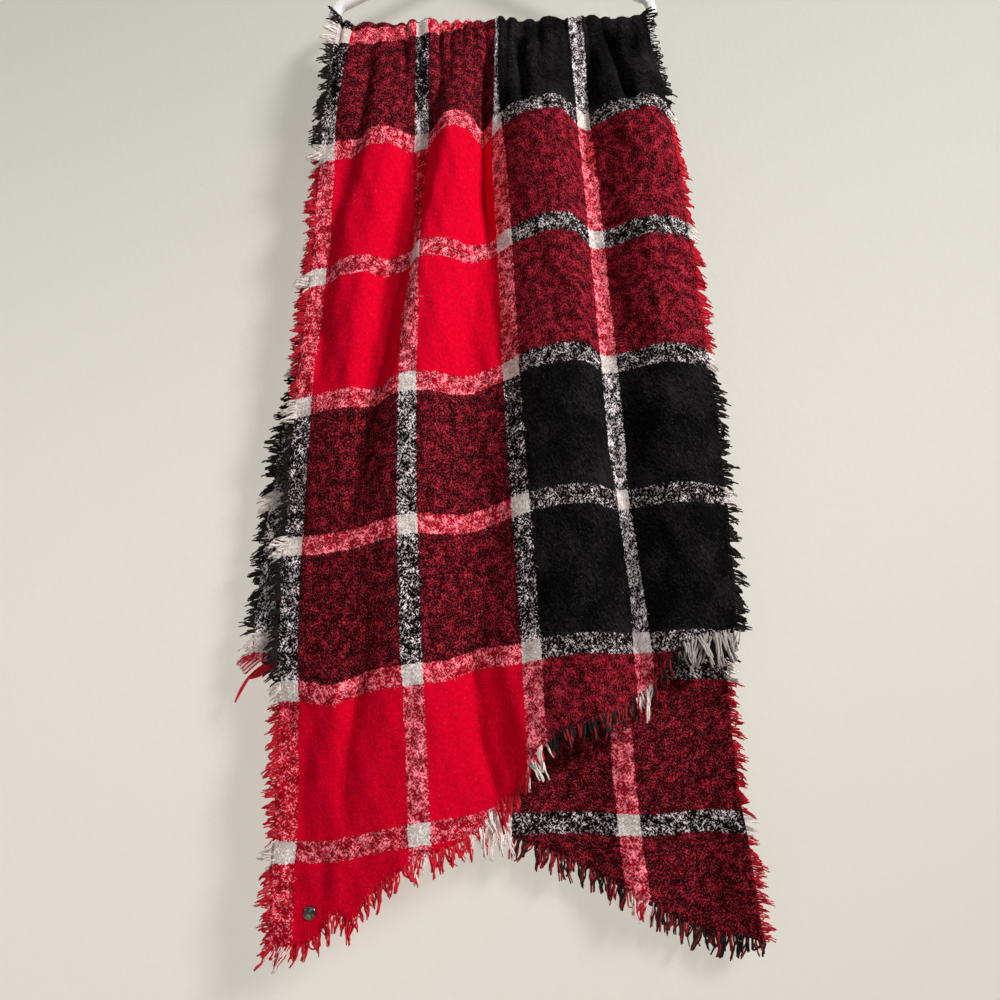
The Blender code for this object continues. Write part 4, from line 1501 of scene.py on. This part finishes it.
def floor_material():
    """Plain matt paint."""
    return start_material("pale_floor", {"Roughness": 0.85, "Base Color": (0.66, 0.64, 0.60, 1.0)})[0]


# %% Stand up the floor and the backdrop
plane("floor", (-6, -6, FLOOR_HEIGHT), (12, 0, 0), (0, 12, 0), floor_material())
wall_corner = (-4, WALL_PLACE, FLOOR_HEIGHT)
backdrop = plane("backdrop", wall_corner, (8, 0, 0), (0, 0, WALL_HEIGHT), backdrop_material())
backdrop.visible_shadow = False
print("the backdrop stands", WALL_PLACE, "behind the bar")


# %% [markdown]
# ## The light
# One soft light from the right, high up and far away, models the folds. Its beam is aimed at the
# upper part and fades towards the hem, as daylight from a high window does. A weak fill and the pale
# surroundings keep the valleys open, and a third light is there for the back.

# %% Light it softly
def area_light(name, place, target, size, power, colour, spread=np.pi):
    """A soft square light at a place, aimed at a target; its beam fades out over the spread."""
    data = bpy.data.lights.new(name, "AREA")
    data.size = size
    data.energy = power
    data.spread = spread
    data.color = colour
    lamp = bpy.data.objects.new(name, data)
    bpy.context.scene.collection.objects.link(lamp)
    lamp.location = place
    lamp.rotation_euler = (Vector(target) - Vector(place)).to_track_quat("-Z", "Y").to_euler()
    return lamp


MIDDLE = (0.0, 0.0, -0.75)
UPPER_PART = (0.0, 0.0, -0.35)
KEY_SPREAD = np.radians(57)
KEY_POWER = 25.0
area_light("key", (2.95, -2.40, 1.40), UPPER_PART, 1.10, KEY_POWER, (1.0, 0.99, 0.975), KEY_SPREAD)
area_light("fill", (-1.2, -2.6, -0.5), MIDDLE, 1.8, 6.5, (0.96, 0.98, 1.0))
area_light("behind", (-1.2, 2.4, 0.4), MIDDLE, 1.6, 45.0, (1.0, 0.99, 0.97))
world = bpy.data.worlds.new("studio")
world.use_nodes = True
feed(world.node_tree.nodes["Background"].inputs, {"Color": (0.95, 0.96, 1.0, 1.0), "Strength": 0.17})
bpy.context.scene.world = world
bpy.context.scene.view_settings.view_transform = "Standard"
print("the key's beam is", KEY_POWER, "watts")

# %% [markdown]
# ## The camera
# It stands close, below the scarf's middle, and looks slightly up, turned a little about its own axis.

# %% Place the camera
CAMERA_PLACE = (-0.007, -0.880, -1.0065)
CAMERA_PITCH = np.radians(9.35)
CAMERA_ROLL = np.radians(1.5)
camera_data = bpy.data.cameras.new("camera")
camera_data.sensor_width = 36.0
camera_data.lens = 27.07
camera = bpy.data.objects.new("camera", camera_data)
bpy.context.scene.collection.objects.link(camera)
turned = Matrix.Rotation(np.pi / 2 + CAMERA_PITCH, 4, "X") @ Matrix.Rotation(-CAMERA_ROLL, 4, "Z")
camera.matrix_world = Matrix.Translation(CAMERA_PLACE) @ turned
bpy.context.scene.camera = camera
print("the camera stands", -CAMERA_PLACE[1], "in front of the bar")
